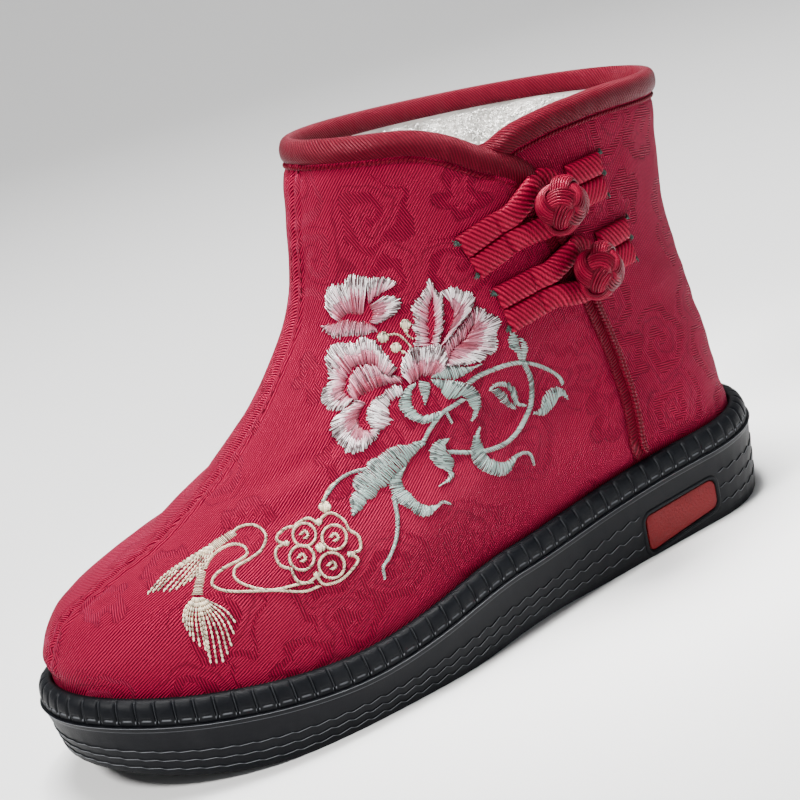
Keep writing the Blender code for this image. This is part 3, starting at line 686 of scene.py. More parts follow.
def weave_group():
    """Diagonal twill: ribs of one pitch on a map in metres, with uneven threads."""
    inputs = {"Map": "Vector", "Pitch": 0.0006, "Turn": 1.0, "Unevenness": 0.25}
    tree, put, end = new_tree(WEAVE, "Shader", ["Rib"], inputs)
    uv = node(tree, "ShaderNodeSeparateXYZ", {0: put["Map"]})
    slanted = maths(tree, "MULTIPLY_ADD", uv.outputs[1], put["Turn"], uv.outputs[0])
    cells = vector_maths(tree, "MULTIPLY", put["Map"], (900.0, 900.0, 900.0))
    loose = node(tree, "ShaderNodeTexNoise", {"Vector": cells, "Scale": 1.0, "Detail": 2.0})
    shift = maths(tree, "MULTIPLY", loose.outputs[0], put["Unevenness"])
    turns = maths(tree, "ADD", maths(tree, "DIVIDE", slanted, put["Pitch"]), shift)
    wave = maths(tree, "PINGPONG", turns, 0.5)
    rib = maths(tree, "POWER", maths(tree, "MULTIPLY", wave, 2.0), 1.1, clamp=True)
    tree.links.new(rib, end.inputs[0])


def figure_group():
    """Woven scrolls and blossoms, one to each loose cell of a map in metres."""
    inputs = {"Map": "Vector", "Size": 0.030, "Line": 0.045}
    tree, put, end = new_tree(FIGURE, "Shader", ["Figure", "Line"], inputs)
    scale = maths(tree, "DIVIDE", 1.0, put["Size"])
    woven = vector_maths(tree, "SNAP", put["Map"], (0.00045, 0.00045, 1.0))
    place = vector_maths(tree, "SCALE", woven, scale)
    bend = node(tree, "ShaderNodeTexNoise", {"Vector": place, "Scale": 2.2, "Detail": 1.0})
    push = vector_maths(tree, "SUBTRACT", bend.outputs["Color"], (0.5, 0.5, 0.5))
    pushed = vector_maths(tree, "MULTIPLY_ADD", push, (0.50, 0.50, 0.0), place)
    links = {"Vector": pushed, "Scale": 1.0, "Randomness": 0.85}
    cell = node(tree, "ShaderNodeTexVoronoi", links, voronoi_dimensions="2D")
    local = vector_maths(tree, "SUBTRACT", pushed, cell.outputs["Position"])
    xy = node(tree, "ShaderNodeSeparateXYZ", {0: local})
    chance = node(tree, "ShaderNodeSeparateColor", {0: cell.outputs["Color"]})
    turn = maths(tree, "ARCTAN2", xy.outputs[1], xy.outputs[0])
    share = maths(tree, "DIVIDE", turn, 2 * math.pi)
    reach = cell.outputs["Distance"]
    spiral = maths(tree, "MULTIPLY_ADD", reach, 3.4, maths(tree, "ADD", share, chance.outputs[0]))
    curl = maths(tree, "PINGPONG", spiral, 0.5)
    curl_line = maths(tree, "LESS_THAN", curl, put["Line"])
    curl_fill = maths(tree, "GREATER_THAN", curl, 0.33)
    start = maths(tree, "MULTIPLY", chance.outputs[1], 6.0)
    petal = maths(tree, "ABSOLUTE", maths(tree, "COSINE", maths(tree, "MULTIPLY_ADD", turn, 2.5, start)))
    lobed = maths(tree, "MULTIPLY_ADD", petal, -0.13, reach)
    rings = maths(tree, "PINGPONG", maths(tree, "ADD", lobed, 0.04), 0.14)
    petal_line = maths(tree, "LESS_THAN", rings, 0.013)
    petal_fill = maths(tree, "COMPARE", lobed, 0.17, 0.07)
    blossom = maths(tree, "GREATER_THAN", chance.outputs[2], 0.60)
    inside = maths(tree, "LESS_THAN", reach, 0.47)
    for i, (scroll, flower) in enumerate(((curl_fill, petal_fill), (curl_line, petal_line))):
        drawn_part = node(tree, "ShaderNodeMix", {0: blossom, 2: scroll, 3: flower})
        tree.links.new(maths(tree, "MULTIPLY", drawn_part.outputs[0], inside), end.inputs[i])


def grain_group():
    """Fine irregular grain on object coordinates in metres, about 0 to 1."""
    tree, put, end = new_tree(GRAIN, "Shader", ["Grain"], {"Place": "Vector", "Size": 0.001, "Detail": 4.0})
    scale = maths(tree, "DIVIDE", 1.0, put["Size"])
    links = {"Vector": put["Place"], "Scale": scale, "Detail": put["Detail"], "Roughness": 0.6}
    tree.links.new(node(tree, "ShaderNodeTexNoise", links).outputs[0], end.inputs[0])


def group_node(tree, name, links):
    return node(tree, "ShaderNodeGroup", links, node_tree=bpy.data.node_groups[name])


def weave(tree, pitch, turn, unevenness=0.25):
    """Ribs of a twill on the piece's own map."""
    uv = node(tree, "ShaderNodeUVMap", uv_map="UVMap").outputs[0]
    links = {"Map": uv, "Pitch": pitch, "Turn": turn, "Unevenness": unevenness}
    return group_node(tree, WEAVE, links).outputs[0]


def grain(tree, size, detail):
    """Grain of one size all over a piece."""
    place = node(tree, "ShaderNodeTexCoord").outputs["Object"]
    return group_node(tree, GRAIN, {"Place": place, "Size": size, "Detail": detail}).outputs[0]


def on_points(tree, name):
    """A number that the piece's own points carry."""
    return node(tree, "ShaderNodeAttribute", attribute_name=name).outputs["Fac"]


def new_material(name, **constants):
    """A material whose own shader has the given constants, and its node tree."""
    material = bpy.data.materials.new(name)
    material.use_nodes = True
    shader = material.node_tree.nodes["Principled BSDF"]
    for title, value in constants.items():
        shader.inputs[title.replace("_", " ")].default_value = value
    return material, material.node_tree


def blend(tree, share, first, second):
    """A colour mixed from two, by a number that changes over the surface."""
    first, second = (c if isinstance(c, bpy.types.NodeSocket) else (*c[:3], 1.0) for c in (first, second))
    return node(tree, "ShaderNodeMix", {0: share, 6: first, 7: second}, data_type="RGBA").outputs[2]


def finish(material, colour, roughness, height, distance, strength):
    """Feeds a material's shader: colour, roughness, and relief of that many metres for a height of 1."""
    tree = material.node_tree
    bump = node(tree, "ShaderNodeBump", {"Height": height, "Distance": distance, "Strength": strength})
    feeds = {"Base Color": colour, "Roughness": roughness, "Normal": bump.outputs[0]}
    for title, socket in feeds.items():
        if socket is not None:
            tree.links.new(socket, tree.nodes["Principled BSDF"].inputs[title])
    return material


def darker(colour, share):
    return tuple(channel * share for channel in colour[:3])


def brighter(colour, factor):
    """The same hue, stronger, where a mix with white would fade it."""
    return tuple(min(channel * factor, 1.0) for channel in colour[:3])


def lighter(colour, share):
    return tuple(mix(channel, 1.0, share) for channel in colour[:3])


# Materials

TWILL = 0.65
RED_GLOSS = (1.0, 0.10, 0.18, 1.0)
PAINTED_HIGHLIGHT_RUBBER = (0.22, 0.23, 0.25)


def brocade_material(colours, sizes):
    red = tuple(colours.brocade)
    material, tree = new_material(
        "red brocade", Sheen_Weight=0.12, Sheen_Roughness=0.35, Sheen_Tint=(1.0, 0.12, 0.30, 1.0),
        Specular_IOR_Level=0.25, Specular_Tint=(1.0, 0.15, 0.30, 1.0),
    )
    uv = node(tree, "ShaderNodeUVMap", uv_map="UVMap").outputs[0]
    ground, cross = weave(tree, sizes.twill_pitch, TWILL), weave(tree, sizes.twill_pitch, -TWILL)
    figure, line = group_node(tree, FIGURE, {"Map": uv, "Size": sizes.figure_size}).outputs
    rib = node(tree, "ShaderNodeMix", {0: figure, 2: ground, 3: cross}).outputs[0]
    cloud = grain(tree, 0.018, 3.0)
    # The twill's grooves are painted near black and its crowns brighter: painted shade and painted highlight
    # of the weave's relief, over the red of the cloth.
    thread = blend(tree, rib, darker(red, 0.04), brighter(red, 1.9))
    hatch = maths(tree, "MULTIPLY_ADD", cross, -0.42, 0.50)
    figured = blend(tree, maths(tree, "MULTIPLY", figure, hatch), thread, darker(red, 0.30))
    lined = blend(tree, maths(tree, "MULTIPLY", line, 0.42), figured, darker(red, 0.16))
    wear_and_highlight = blend(tree, maths(tree, "MULTIPLY", cloud, 0.16), lined, brighter(red, 1.5))
    rough = maths(tree, "MULTIPLY_ADD", rib, -0.14, 0.80)
    return finish(material, wear_and_highlight, rough, maths(tree, "MULTIPLY_ADD", line, -0.5, rib), 0.00045, 1.0)


def satin_material(name, colour, rib_pitch, slant, relief=0.0003, painted_rib_highlight=1.15, deep=0.05):
    """Ribbed satin on a map that runs along and across a tape or a rolled edge, with painted shade between
    the ribs and a painted highlight on their crowns.
    """
    material, tree = new_material(
        name, Sheen_Weight=0.03, Sheen_Roughness=0.35, Sheen_Tint=(1.0, 0.15, 0.2, 1.0),
        Specular_IOR_Level=0.30, Specular_Tint=RED_GLOSS,
    )
    ribs, fine = weave(tree, rib_pitch, slant, 0.12), weave(tree, rib_pitch * 0.21, -2.4, 0.5)
    # Dark gaps between the ribs and bright rib crowns: painted shade and painted highlight of the ribs'
    # relief; deep sets the painted shade.
    shade = blend(tree, ribs, darker(colour, deep), brighter(colour, painted_rib_highlight))
    spun = blend(tree, maths(tree, "MULTIPLY", fine, 0.25), shade, darker(colour, 0.6))
    rough = maths(tree, "MULTIPLY_ADD", ribs, -0.22, 0.56)
    return finish(material, spun, rough, maths(tree, "MULTIPLY_ADD", fine, 0.12, ribs), relief, 0.9)


def thread_material(name, dark, middle, light, roughness=0.42, gloss=(1.0, 1.0, 1.0, 1.0), level=0.6):
    """Glossy thread whose points carry tint, from its base to its tip, and a painted shade of its own that
    darkens it as if it lay in shadow between threads.
    """
    material, tree = new_material(name, Specular_IOR_Level=level, Specular_Tint=gloss)
    tint, shade = on_points(tree, "tint"), on_points(tree, "shade")
    lower = maths(tree, "MULTIPLY", tint, 2.0, clamp=True)
    upper = maths(tree, "MULTIPLY_ADD", tint, 2.0, -1.0, clamp=True)
    colour = blend(tree, upper, blend(tree, lower, dark, middle), light)
    # Painted shade: a thread darkened towards a dark tone of its family, as if it lay in the shadow between
    # its neighbours.
    shaded = blend(tree, shade, colour, darker(dark, 0.14))
    twist = grain(tree, 0.0003, 2.0)
    rough = maths(tree, "MULTIPLY_ADD", twist, 0.3, roughness - 0.1)
    return finish(material, shaded, rough, twist, 0.00012, 0.6)


def rubber_material(colours):
    black = tuple(colours.rubber)
    material, tree = new_material("black rubber", Specular_IOR_Level=0.09)
    fine, cloud = grain(tree, 0.0005, 3.0), grain(tree, 0.009, 5.0)
    dusty = maths(tree, "MULTIPLY_ADD", cloud, 1.6, -0.65, clamp=True)
    dusted = blend(tree, maths(tree, "MULTIPLY", dusty, 0.35), black, lighter(black, 0.02))
    # Painted highlight: thin light lines along the ledges' edges, the lip and the welt's small edges, from a
    # number on the points.
    wear_and_highlight = blend(tree, on_points(tree, "wear_and_highlight"), dusted, PAINTED_HIGHLIGHT_RUBBER)
    return finish(material, wear_and_highlight, maths(tree, "MULTIPLY_ADD", cloud, 0.20, 0.40), fine, 0.00010, 0.5)


def fleece_material(colours):
    white = tuple(colours.fleece)
    material, tree = new_material(
        "white fleece", Sheen_Weight=1.0, Sheen_Roughness=0.7, Specular_IOR_Level=0.1, Roughness=0.95,
    )
    tufts = grain(tree, 0.0025, 6.0)
    return finish(material, blend(tree, tufts, darker(white, 0.95), white), None, tufts, 0.0012, 0.6)


def badge_material(colours):
    red = tuple(colours.badge)
    material, tree = new_material("badge red", Specular_IOR_Level=0.15)
    fine = grain(tree, 0.0008, 4.0)
    colour = blend(tree, fine, darker(red, 0.55), brighter(red, 1.3))
    return finish(material, colour, maths(tree, "MULTIPLY_ADD", fine, 0.2, 0.45), fine, 0.0004, 0.8)


# Upper

# Columns of the outer front panel, the inner side and the outer back panel, and rows up the cloth
FRONT_COLUMNS = 150
INNER_COLUMNS = 170
BACK_COLUMNS = 64
CLOTH_ROWS = 150
LINING_ROWS = 44
CROWDING = 0.72
HEEL_COLUMN = FRONT_COLUMNS + INNER_COLUMNS - 2
LAP_EDGE_TURN = 0.004
DEEPEST_DENT = 0.0016
PANEL_ROWS = 34
PANEL_COLUMNS = 40

# Soft folds and dents of the padded cloth: first and last place as metres from the front seam
# (outer side negative) and up the cloth, then width and height of the ridge
FOLDS = (
    ((-0.012, 0.083), (-0.046, 0.094), 0.0060, -0.0008),
    ((-0.010, 0.072), (-0.052, 0.080), 0.0070, 0.0007),
    ((-0.008, 0.060), (-0.050, 0.062), 0.0080, -0.0006),
    ((0.012, 0.083), (0.046, 0.094), 0.0060, -0.0008),
    ((0.010, 0.072), (0.052, 0.080), 0.0070, 0.0007),
    ((0.008, 0.060), (0.050, 0.062), 0.0080, -0.0006),
    ((-0.095, 0.060), (-0.135, 0.050), 0.0090, -0.0009),
    ((-0.100, 0.074), (-0.140, 0.068), 0.0080, 0.0006),
    ((-0.085, 0.030), (-0.150, 0.026), 0.0090, 0.0006),
    ((0.095, 0.060), (0.135, 0.050), 0.0090, -0.0009),
    ((0.100, 0.074), (0.140, 0.068), 0.0080, 0.0006),
)


def cloth_angles(rise):
    """Columns from the front panel's edge round the toe, the inner side and the heel, to behind it."""
    lap = lap_angle(rise)
    first = lap + (math.pi - lap) * spread(FRONT_COLUMNS, CROWDING)[:-1]
    second = math.pi + math.pi * spread(INNER_COLUMNS, CROWDING)[:-1]
    third = 2 * math.pi + (lap - LAP_EDGE_TURN) * spread(BACK_COLUMNS, CROWDING)
    return np.concatenate([first, second, third])


def cloth_map(grid):
    """Metres from the front seam along each row, and up the cloth, with the closing column."""
    steps = np.linalg.norm(np.diff(grid, axis=1), axis=-1)
    across = np.concatenate([np.zeros((len(grid), 1)), np.cumsum(steps, axis=1)], axis=1)
    across -= across[:, FRONT_COLUMNS - 1 : FRONT_COLUMNS]
    rises = np.linalg.norm(np.diff(grid, axis=0), axis=-1)
    up = np.concatenate([np.zeros((1, grid.shape[1])), np.cumsum(rises, axis=0)])
    return np.stack([across, up], -1)


def ridge(where, first, last, width, height):
    """A soft fold along a line on the cloth, fading out at both ends."""
    first, last = np.array(first), np.array(last)
    run = last - first
    share = np.clip(((where - first) @ run) / (run @ run), 0, 1)
    away = np.linalg.norm(where - (first + share[..., None] * run), axis=-1)
    return height * np.exp(-((away / width) ** 2)) * (0.35 + 0.65 * np.sin(math.pi * share))


def band(distance, at, width):
    """A soft ridge of height 1 at a distance from a line, that many metres wide."""
    return np.exp(-(((distance - at) / width) ** 2))


def cloth_relief(where, rise, lap, sizes):
    """Height of the padded cloth over the shell: seams pull in, folds and pucker stand out."""
    across, up = where[..., 0], where[..., 1]
    top = up[-1:] - up
    seam = np.abs(across)
    heel = np.abs(across - across[:, HEEL_COLUMN : HEEL_COLUMN + 1])
    relief = -sizes.seam_depth * (band(seam, 0.0, 0.0007) + 0.6 * band(heel, 0.0, 0.0008))
    relief = relief + 0.00022 * np.sin(up * 2 * math.pi / 0.0062 + 9 * across) * band(seam, 0.0, 0.0035)
    for distance, at, width, height in (
        (seam, 0.0021, 0.0016, 0.0004), (seam, 0.0042, 0.0008, -0.0003),
        (top, 0.0026, 0.0012, -0.0005), (top, 0.0080, 0.0045, 0.0004),
        (np.abs(lap - SLIT_WIDTH), 0.0, 0.0012, -0.0003),
    ):
        relief = relief + height * band(distance, at, width)
    relief += sizes.pucker * band(up, 0.0085, 0.0045) * (0.5 + 0.5 * wander(5, where[..., :1], 0.0085))
    for fold in FOLDS:
        relief = relief + ridge(where, *fold)
    relief += 0.00035 * wander(11, where, 0.040)
    return np.maximum(relief, -DEEPEST_DENT) * ease((rise - SEAT_SHARE) / SWELL_SHARE)


def flat_panel(grid, where, first, last):
    """Metres on the flat cut of a panel, from an unwrapped coarse copy of its columns."""
    rows = np.unique(np.linspace(0, len(grid) - 1, PANEL_ROWS).round().astype(int))
    columns = np.unique(np.linspace(first, last, PANEL_COLUMNS).round().astype(int))
    solid = grid[np.ix_(rows, columns)]
    coarse = grid_mesh("panel", solid, flip=True)
    coarse.uv_layers.new(name="UVMap")
    panel = in_scene("panel", coarse)
    bpy.context.view_layer.objects.active = panel
    bpy.ops.object.mode_set(mode="EDIT")
    bpy.ops.mesh.select_all(action="SELECT")
    bpy.ops.uv.unwrap(method="MINIMUM_STRETCH", margin=0.0)
    bpy.ops.object.mode_set(mode="OBJECT")
    flat = np.empty(len(coarse.loops) * 2)
    coarse.uv_layers["UVMap"].data.foreach_get("uv", flat)
    corner = np.empty(len(coarse.loops), dtype=np.int32)
    coarse.loops.foreach_get("vertex_index", corner)
    spot = np.zeros((len(coarse.vertices), 2))
    spot[corner] = flat.reshape(-1, 2)
    spot = spot.reshape(len(rows), len(columns), 2)
    bpy.data.objects.remove(panel)
    size, drawn_size = (
        sum(np.linalg.norm(np.diff(net, axis=k), axis=-1).sum() for k in (0, 1)) for net in (solid, spot)
    )
    spot *= size / drawn_size
    target = where[np.ix_(rows, columns)].reshape(-1, 2)
    loose = spot.reshape(-1, 2)
    left, _, right = np.linalg.svd((loose - loose.mean(0)).T @ (target - target.mean(0)))
    turned = ((loose - loose.mean(0)) @ left @ right + target.mean(0)).reshape(spot.shape)
    tall = np.stack([at_lengths(np.arange(len(grid)), rows, turned[:, j]) for j in range(len(columns))], 1)
    at = np.arange(first, last + 1)
    return np.stack([at_lengths(at, columns, row) for row in tall])


def map_panels(mesh, grid, where, pick):
    """UVs in metres: the outer front panel, the inner side and the outer back panel are cut apart."""
    columns = grid.shape[1]
    front, heel = FRONT_COLUMNS - 1, HEEL_COLUMN
    rows = np.concatenate([np.arange(len(grid)), pick])
    quads, flat = grid_quads(len(rows), columns, True, True)
    column = np.tile(np.arange(columns), len(rows))
    loops = np.zeros((len(quads), 4, 2))
    for first, last in ((0, front), (front, heel), (heel, columns - 1)):
        panel = flat_panel(grid, where, first, last)
        wide = np.zeros((len(grid), columns + 1, 2))
        wide[:, first : last + 1] = panel
        wide[:, last + 1 :] = panel[:, -1:] + (LAP_STEP, 0.0)
        inside = (column >= first) & (column < max(last, columns if last == columns - 1 else 0))
        loops[inside] = wide[rows].reshape(-1, 2)[flat[inside]]
    lay_map(mesh, loops[:, ::-1])


def build_cloth(sizes, colours):
    """The padded shell: brocade outside and fleece lining inside, in one closed wall."""
    rises = np.linspace(0, 1, CLOTH_ROWS)
    angles = np.stack([cloth_angles(rise) for rise in rises])
    rise = np.broadcast_to(rises[:, None], angles.shape)
    distance = past_lap(angles, rise)
    distance[:, 0], distance[:, -1] = 0.0, -1.0
    distance[:, HEEL_COLUMN:] = np.minimum(distance[:, HEEL_COLUMN:], -1e-4)
    lift = lap_lift(distance, rise)
    plain = upper_point(angles, rise, lift)
    where = cloth_map(plain)
    relief = cloth_relief(where, rise, distance, sizes)
    outer = upper_point(angles, rise, lift + relief)
    pick = np.linspace(CLOTH_ROWS - 1, 0, LINING_ROWS).round().astype(int)
    fluff = 0.0007 * wander(21, outer[pick], 0.007)
    inner = upper_point(angles[pick], rise[pick], -WALL + fluff * ease(rise[pick] * 6))
    inner[-1, :, 2] = outer[0, :, 2]
    points = np.concatenate([outer, inner])
    mesh = grid_mesh("brocade_upper", points, round_columns=True, round_rows=True, flip=True)
    map_panels(mesh, plain, where, pick)
    piece = add_piece(mesh, "brocade_upper", brocade_material(colours, sizes), fleece_material(colours))
    quads = len(mesh.polygons) // len(points)
    slots = np.repeat((np.arange(len(points)) >= CLOTH_ROWS - 1).astype(np.int32), quads)
    mesh.polygons.foreach_set("material_index", slots)
    mesh.set_sharp_from_angle(angle=math.radians(60))
    dress(piece, "upper", "upper")


def build_pile(sizes):
    """The fleece that shows inside the collar, denser near the rim, and thin lower down."""
    fleece = bpy.data.materials["white fleece"]
    for name, low, high, density in (
        ("fleece_at_collar", 0.86, 0.99, sizes.pile_density),
        ("fleece_in_shaft", 0.35, 0.86, sizes.pile_density * 0.14),
    ):
        rises = np.linspace(high, low, 24)
        angles = np.linspace(0, 2 * math.pi, 160, endpoint=False)
        angle, rise = np.meshgrid(angles, rises)
        points = upper_point(angle, rise, -WALL + 0.0002)
        surface = grid_mesh("pile_base", points, round_columns=True)
        surface.flip_normals()
        piece = made_plain(
            surface, name, PILE, fleece, Density=density * 1e6, Length=sizes.pile_length, Thickness=0.00030,
            Curl=0.7, Seed=7,
        )
        dress(piece, "upper")


def build_insole():
    """The footbed's fleece: a soft crowned sheet that fills the shell of the sole."""
    angles = np.linspace(0, math.pi, 120)
    edge = SEAT_INSET + WALL + 2 * CLEARANCE
    outer, inner = outline(angles, edge), outline(-angles, edge)
    share = np.linspace(0, 1, 28)
    flat = outer[:, None] * (1 - share[:, None]) + inner[:, None] * share[:, None]
    base = seat_height(along_of(angles))[:, None] + CLEARANCE + 0 * share
    bed = 0.0006 * wander(31, np.concatenate([flat, base[..., None]], -1), 0.006)
    crown = INSOLE_THICKNESS * (1 - 0.12 * np.abs(2 * share - 1) ** 8)
    top = np.concatenate([flat, (base + crown + bed * np.sin(math.pi * share))[..., None]], -1)
    under = np.concatenate([flat[:, ::-1], base[..., None]], -1)
    points = np.concatenate([top, under], axis=1)
    uv = np.concatenate([points[..., :2], points[:, :1, :2]], axis=1)
    mesh = grid_mesh("fleece_insole", points, uv, round_columns=True)
    mend(mesh, merge_points, fill_holes)
    piece = add_piece(mesh, "fleece_insole", bpy.data.materials["white fleece"])
    dress(piece, "insole", "insole")


# Satin binding of the collar and the front panel's edge

BINDING_STEP = 0.0006
NOTCH_ROUND = 0.022
NOTCH_REACH = 22
SLIT_TURN = (0.030, 0.016)
DIVE_TURN = (0.014, 0.008)
DIVE_DEPTH = 0.0030
PROFILE_POINTS = 30
ROLL_COLLAR = {
    "beyond": (0.0, 2.0, 4.5, 6.2, 6.95, 6.5, 5.3, 3.6, 1.9, 0.5, -0.3, -0.6, -0.6, -0.4, 0.0, 0.3),
    "out": (-2.3, -2.6, -2.45, -1.6, 0.0, 1.5, 2.5, 2.95, 2.95, 2.6, 2.1, 1.7, 1.3, 0.9, 0.4, -0.6),
}
ROLL_SLIT = {
    "beyond": (0.0, 0.25, 0.35, 0.4, 0.35, 0.1, -0.4, -1.0, -1.6, -2.0, -2.6, -4.2, -5.1, -5.25, -3.0, -1.0),
    "out": (0.9, 1.0, 1.3, 1.7, 2.2, 2.65, 2.95, 2.95, 2.65, 2.2, 2.0, 2.0, 1.9, 1.5, 1.45, 1.2),
}


def round_profile(table):
    """A closed outline through a table's points in millimetres, with even steps, in metres."""
    fine = through(np.stack([table["beyond"], table["out"]], -1) * 1e-3, 12, closed=True)
    return fine[np.linspace(0, len(fine), PROFILE_POINTS, endpoint=False).astype(int)]


def binding_path():
    """Places, outward normals and a share that turns collar into slit, from the welt up the
    front panel's edge, round the collar and in behind the panel again."""
    low = np.linspace(SLIT_BOTTOM, 1.0, 260)
    slit = np.stack([lap_angle(low), low], -1)
    start, end = float(lap_angle(1.0)), 2 * math.pi + float(lap_angle(1.0)) + 0.10
    collar = np.stack([np.linspace(start, end, 900)[1:], np.ones(899)], -1)
    places = np.concatenate([slit, collar])
    points = upper_point(places[:, 0], places[:, 1], -WALL / 2)
    normals = upper_normal(places[:, 0], places[:, 1])
    length = along_length(points)
    corner = length[len(low) - 1]
    return points, normals, length, corner


def binding_frames():
    """Even stations of the binding with its outward and its beyond directions, rounded at the notch, and
    the shares that say where it runs down the slit, dives under the panel, and is lifted by the lap."""
    points, normals, length, corner = binding_path()
    even = np.linspace(0, length[-1], int(length[-1] / BINDING_STEP))
    points, normals = at_lengths(even, length, points), unit(at_lengths(even, length, normals))
    near = np.exp(-(((even - corner) / NOTCH_ROUND) ** 2))[:, None]
    points = mix(points, softened(points, NOTCH_REACH), near)
    beyond = unit(np.cross(unit(np.gradient(points, axis=0)), normals))
    slit = 1 - ease((even - corner + SLIT_TURN[0]) / SLIT_TURN[1])
    under = ease((even - (even[-1] - DIVE_TURN[0])) / DIVE_TURN[1])
    lift = LAP_STEP * (1 - ease((even - corner) / LAP_FADE))
    return even, points, normals, beyond, slit, under, lift


def build_binding(sizes, colours):
    even, points, normals, beyond, slit, under, lift = binding_frames()
    collar, strip = round_profile(ROLL_COLLAR), round_profile(ROLL_SLIT)
    section = mix(collar[:, None], strip[:, None], slit[None, :, None])
    sink = (lift - DIVE_DEPTH * under)[None, :]
    wave = 0.00012 * wander(41, even[:, None], 0.011)[None, :]
    out = (section[..., 1] + sink + wave)[..., None]
    rows = points[None] + beyond[None] * section[..., :1] + normals[None] * out
    uv = np.stack(np.broadcast_arrays(even[None, :], along_length(collar)[:, None]), -1)
    uv = np.concatenate([uv, uv[:, -1:]], axis=1)
    mesh = grid_mesh("satin_binding", rows, uv, round_rows=True)
    mend(mesh, fill_holes)
    satin = satin_material("ribbed satin", colours.satin, sizes.rib_pitch, 0.75)
    piece = add_piece(mesh, "satin_binding", satin)
    dress(piece, "collar_binding", "collar_binding", "slit_binding")


def build_rope_stitches(colours):
    """Rows of slanted stitches that hold the binding down, on the collar and beside the slit."""
    even, points, normals, beyond, slit, _, lift = binding_frames()
    red = colours.satin
    shades = darker(red, 0.7), brighter(red, 1.4), brighter(red, 2.4)
    thread = thread_material("binding thread", *shades, 0.36, RED_GLOSS, 0.35)
    shown = even < even[-1] - 0.012
    for name, offset, out, part, pitch, width in (
        ("collar_stitches", -0.0018, 0.0016, (slit <= 0.5) & shown, 0.00135, 0.00100),
        ("slit_edge_stitches", -0.0050, 0.0019, slit > 0.5, 0.0014, 0.00060),
        ("slit_rope_outer", -0.0002, 0.0026, slit > 0.7, 0.0013, 0.0012),
        ("slit_rope_inner", -0.0015, 0.0027, slit > 0.7, 0.0013, 0.0012),
    ):
        line = (points + beyond * offset + normals * (out + lift[:, None]))[part]
        source = line_mesh(name, [line], out=[normals[part]])
        sizes = {"Pitch": pitch, "Length": pitch * 1.35, "Width": width, "Height": width * 0.9, "Slant": 0.72}
        dress(made_plain(source, name, STITCHES, thread, **sizes), "collar_binding")


def build_seam_stitches(colours):
    """Topstitching down both sides of the front seam, and down the back seam."""
    red = colours.brocade
    shades = darker(red, 0.2), darker(red, 0.5), red
    thread = thread_material("seam thread", *shades, 0.5, (1.0, 0.12, 0.2, 1.0), 0.4)
    lines, normals = [], []
    rises = np.linspace(0.085, 0.985, 400)
    for middle, gap in ((math.pi, 0.0036), (math.pi, -0.0036), (2 * math.pi, 0.0024), (2 * math.pi, -0.0024)):
        step = upper_point(middle + NORMAL_STEP, rises) - upper_point(middle - NORMAL_STEP, rises)
        turn = gap / (np.linalg.norm(step, axis=-1) / (2 * NORMAL_STEP))
        lines.append(upper_point(middle + turn, rises, 0.0001))
        normals.append(upper_normal(middle + turn, rises))
    source = line_mesh("seam_stitches", lines, out=normals)
    sizes = {"Pitch": 0.0030, "Length": 0.0021, "Width": 0.00042, "Height": 0.00042}
    dress(made_plain(source, "seam_stitches", STITCHES, thread, **sizes), "upper")


# Sole, welt and badge

TOE_SPRING = 0.0120
TOE_SPRING_START = 0.76
HEEL_ROCKER = 0.0030
HEEL_ROCKER_END = 0.08
ARCH_LIFT = 0.0015
ARCH_START = 0.30
ARCH_END = 0.56
TREAD_DEPTH = 0.0025
TREAD_RIM = 0.0050
TREAD_BANK = 0.0012
TOOTH_RISE = 0.0011
TOOTH_RELIEF = 0.00012
STEP_DEPTH = 0.00045
STEP_DROP = 0.00022
LIP_HEIGHT = 0.0009
LIP_DEPTH = 0.0007
WALL_TAPER = 0.0032
BADGE_LENGTH = 0.0300
BADGE_HEIGHT = 0.0112
BADGE_THICKNESS = 0.0014
BADGE_CORNER = 0.0022
BADGE_FRAME = 0.0026
BADGE_GROOVE = 0.00042
BADGE_UP = 0.0092
BADGE_ALONG = 0.197
BADGE_SLOPE = -0.07
BADGE_TAPER = -0.10
TEETH = 104
TOOTH_COLUMNS = 8
TOOTH_FALL = 0.68
LUG_TEETH = 2
EDGE_ROUND = 0.00013
TOP_ROWS = 4
UNDER_ROWS = 14
BEAD_COLUMNS = 24
BEAD_RELIEF = 0.0010
BEAD_PHASES = (0.0, 0.042, 0.084, 0.125, 0.20, 0.50)
BEAD_HEIGHTS = (0.62, 0.12, 0.60, 0.84, 0.95, 1.0)
SLOT_DEPTH = 0.00045
STEPS = {
    "along": (0.00, 0.25, 0.45, 0.75, 1.00),
    "first": (0.30, 0.30, 0.44, 0.47, 0.47),
    "second": (0.52, 0.54, 0.61, 0.66, 0.66),
    "third": (0.75, 0.77, 0.79, 0.84, 0.84),
}
WELT_PROFILE = {
    "across": (
        0.02, 0.0, -0.01, -0.02, -0.02, -0.02, -0.02, -0.01, 0.01, 0.04, 0.09, 0.16, 0.27, 0.42, 0.60,
        0.80, 0.94, 1.0, 1.0,
    ),
    "up": (
        -0.06, -0.02, 0.06, 0.16, 0.21, 0.25, 0.29, 0.34, 0.42, 0.52, 0.63, 0.74, 0.85, 0.94, 0.99,
        0.99, 0.93, 0.82, 0.0,
    ),
    "crown": (
        0.1, 0.2, 0.5, 0.7, 0.75, 0.8, 0.85, 1.0, 1.0, 1.0, 1.0, 1.0, 0.9, 0.6, 0.25, 0.0, 0.0, 0.0, 0.0
    ),
    "slot": (0.0, 0.0, 0.0, 0.0, 0.75, 1.0, 0.75, 0.0, 0.0, 0.0, 0.0, 0.0, 0.0, 0.0, 0.0, 0.0, 0.0, 0.0, 0.0),
}


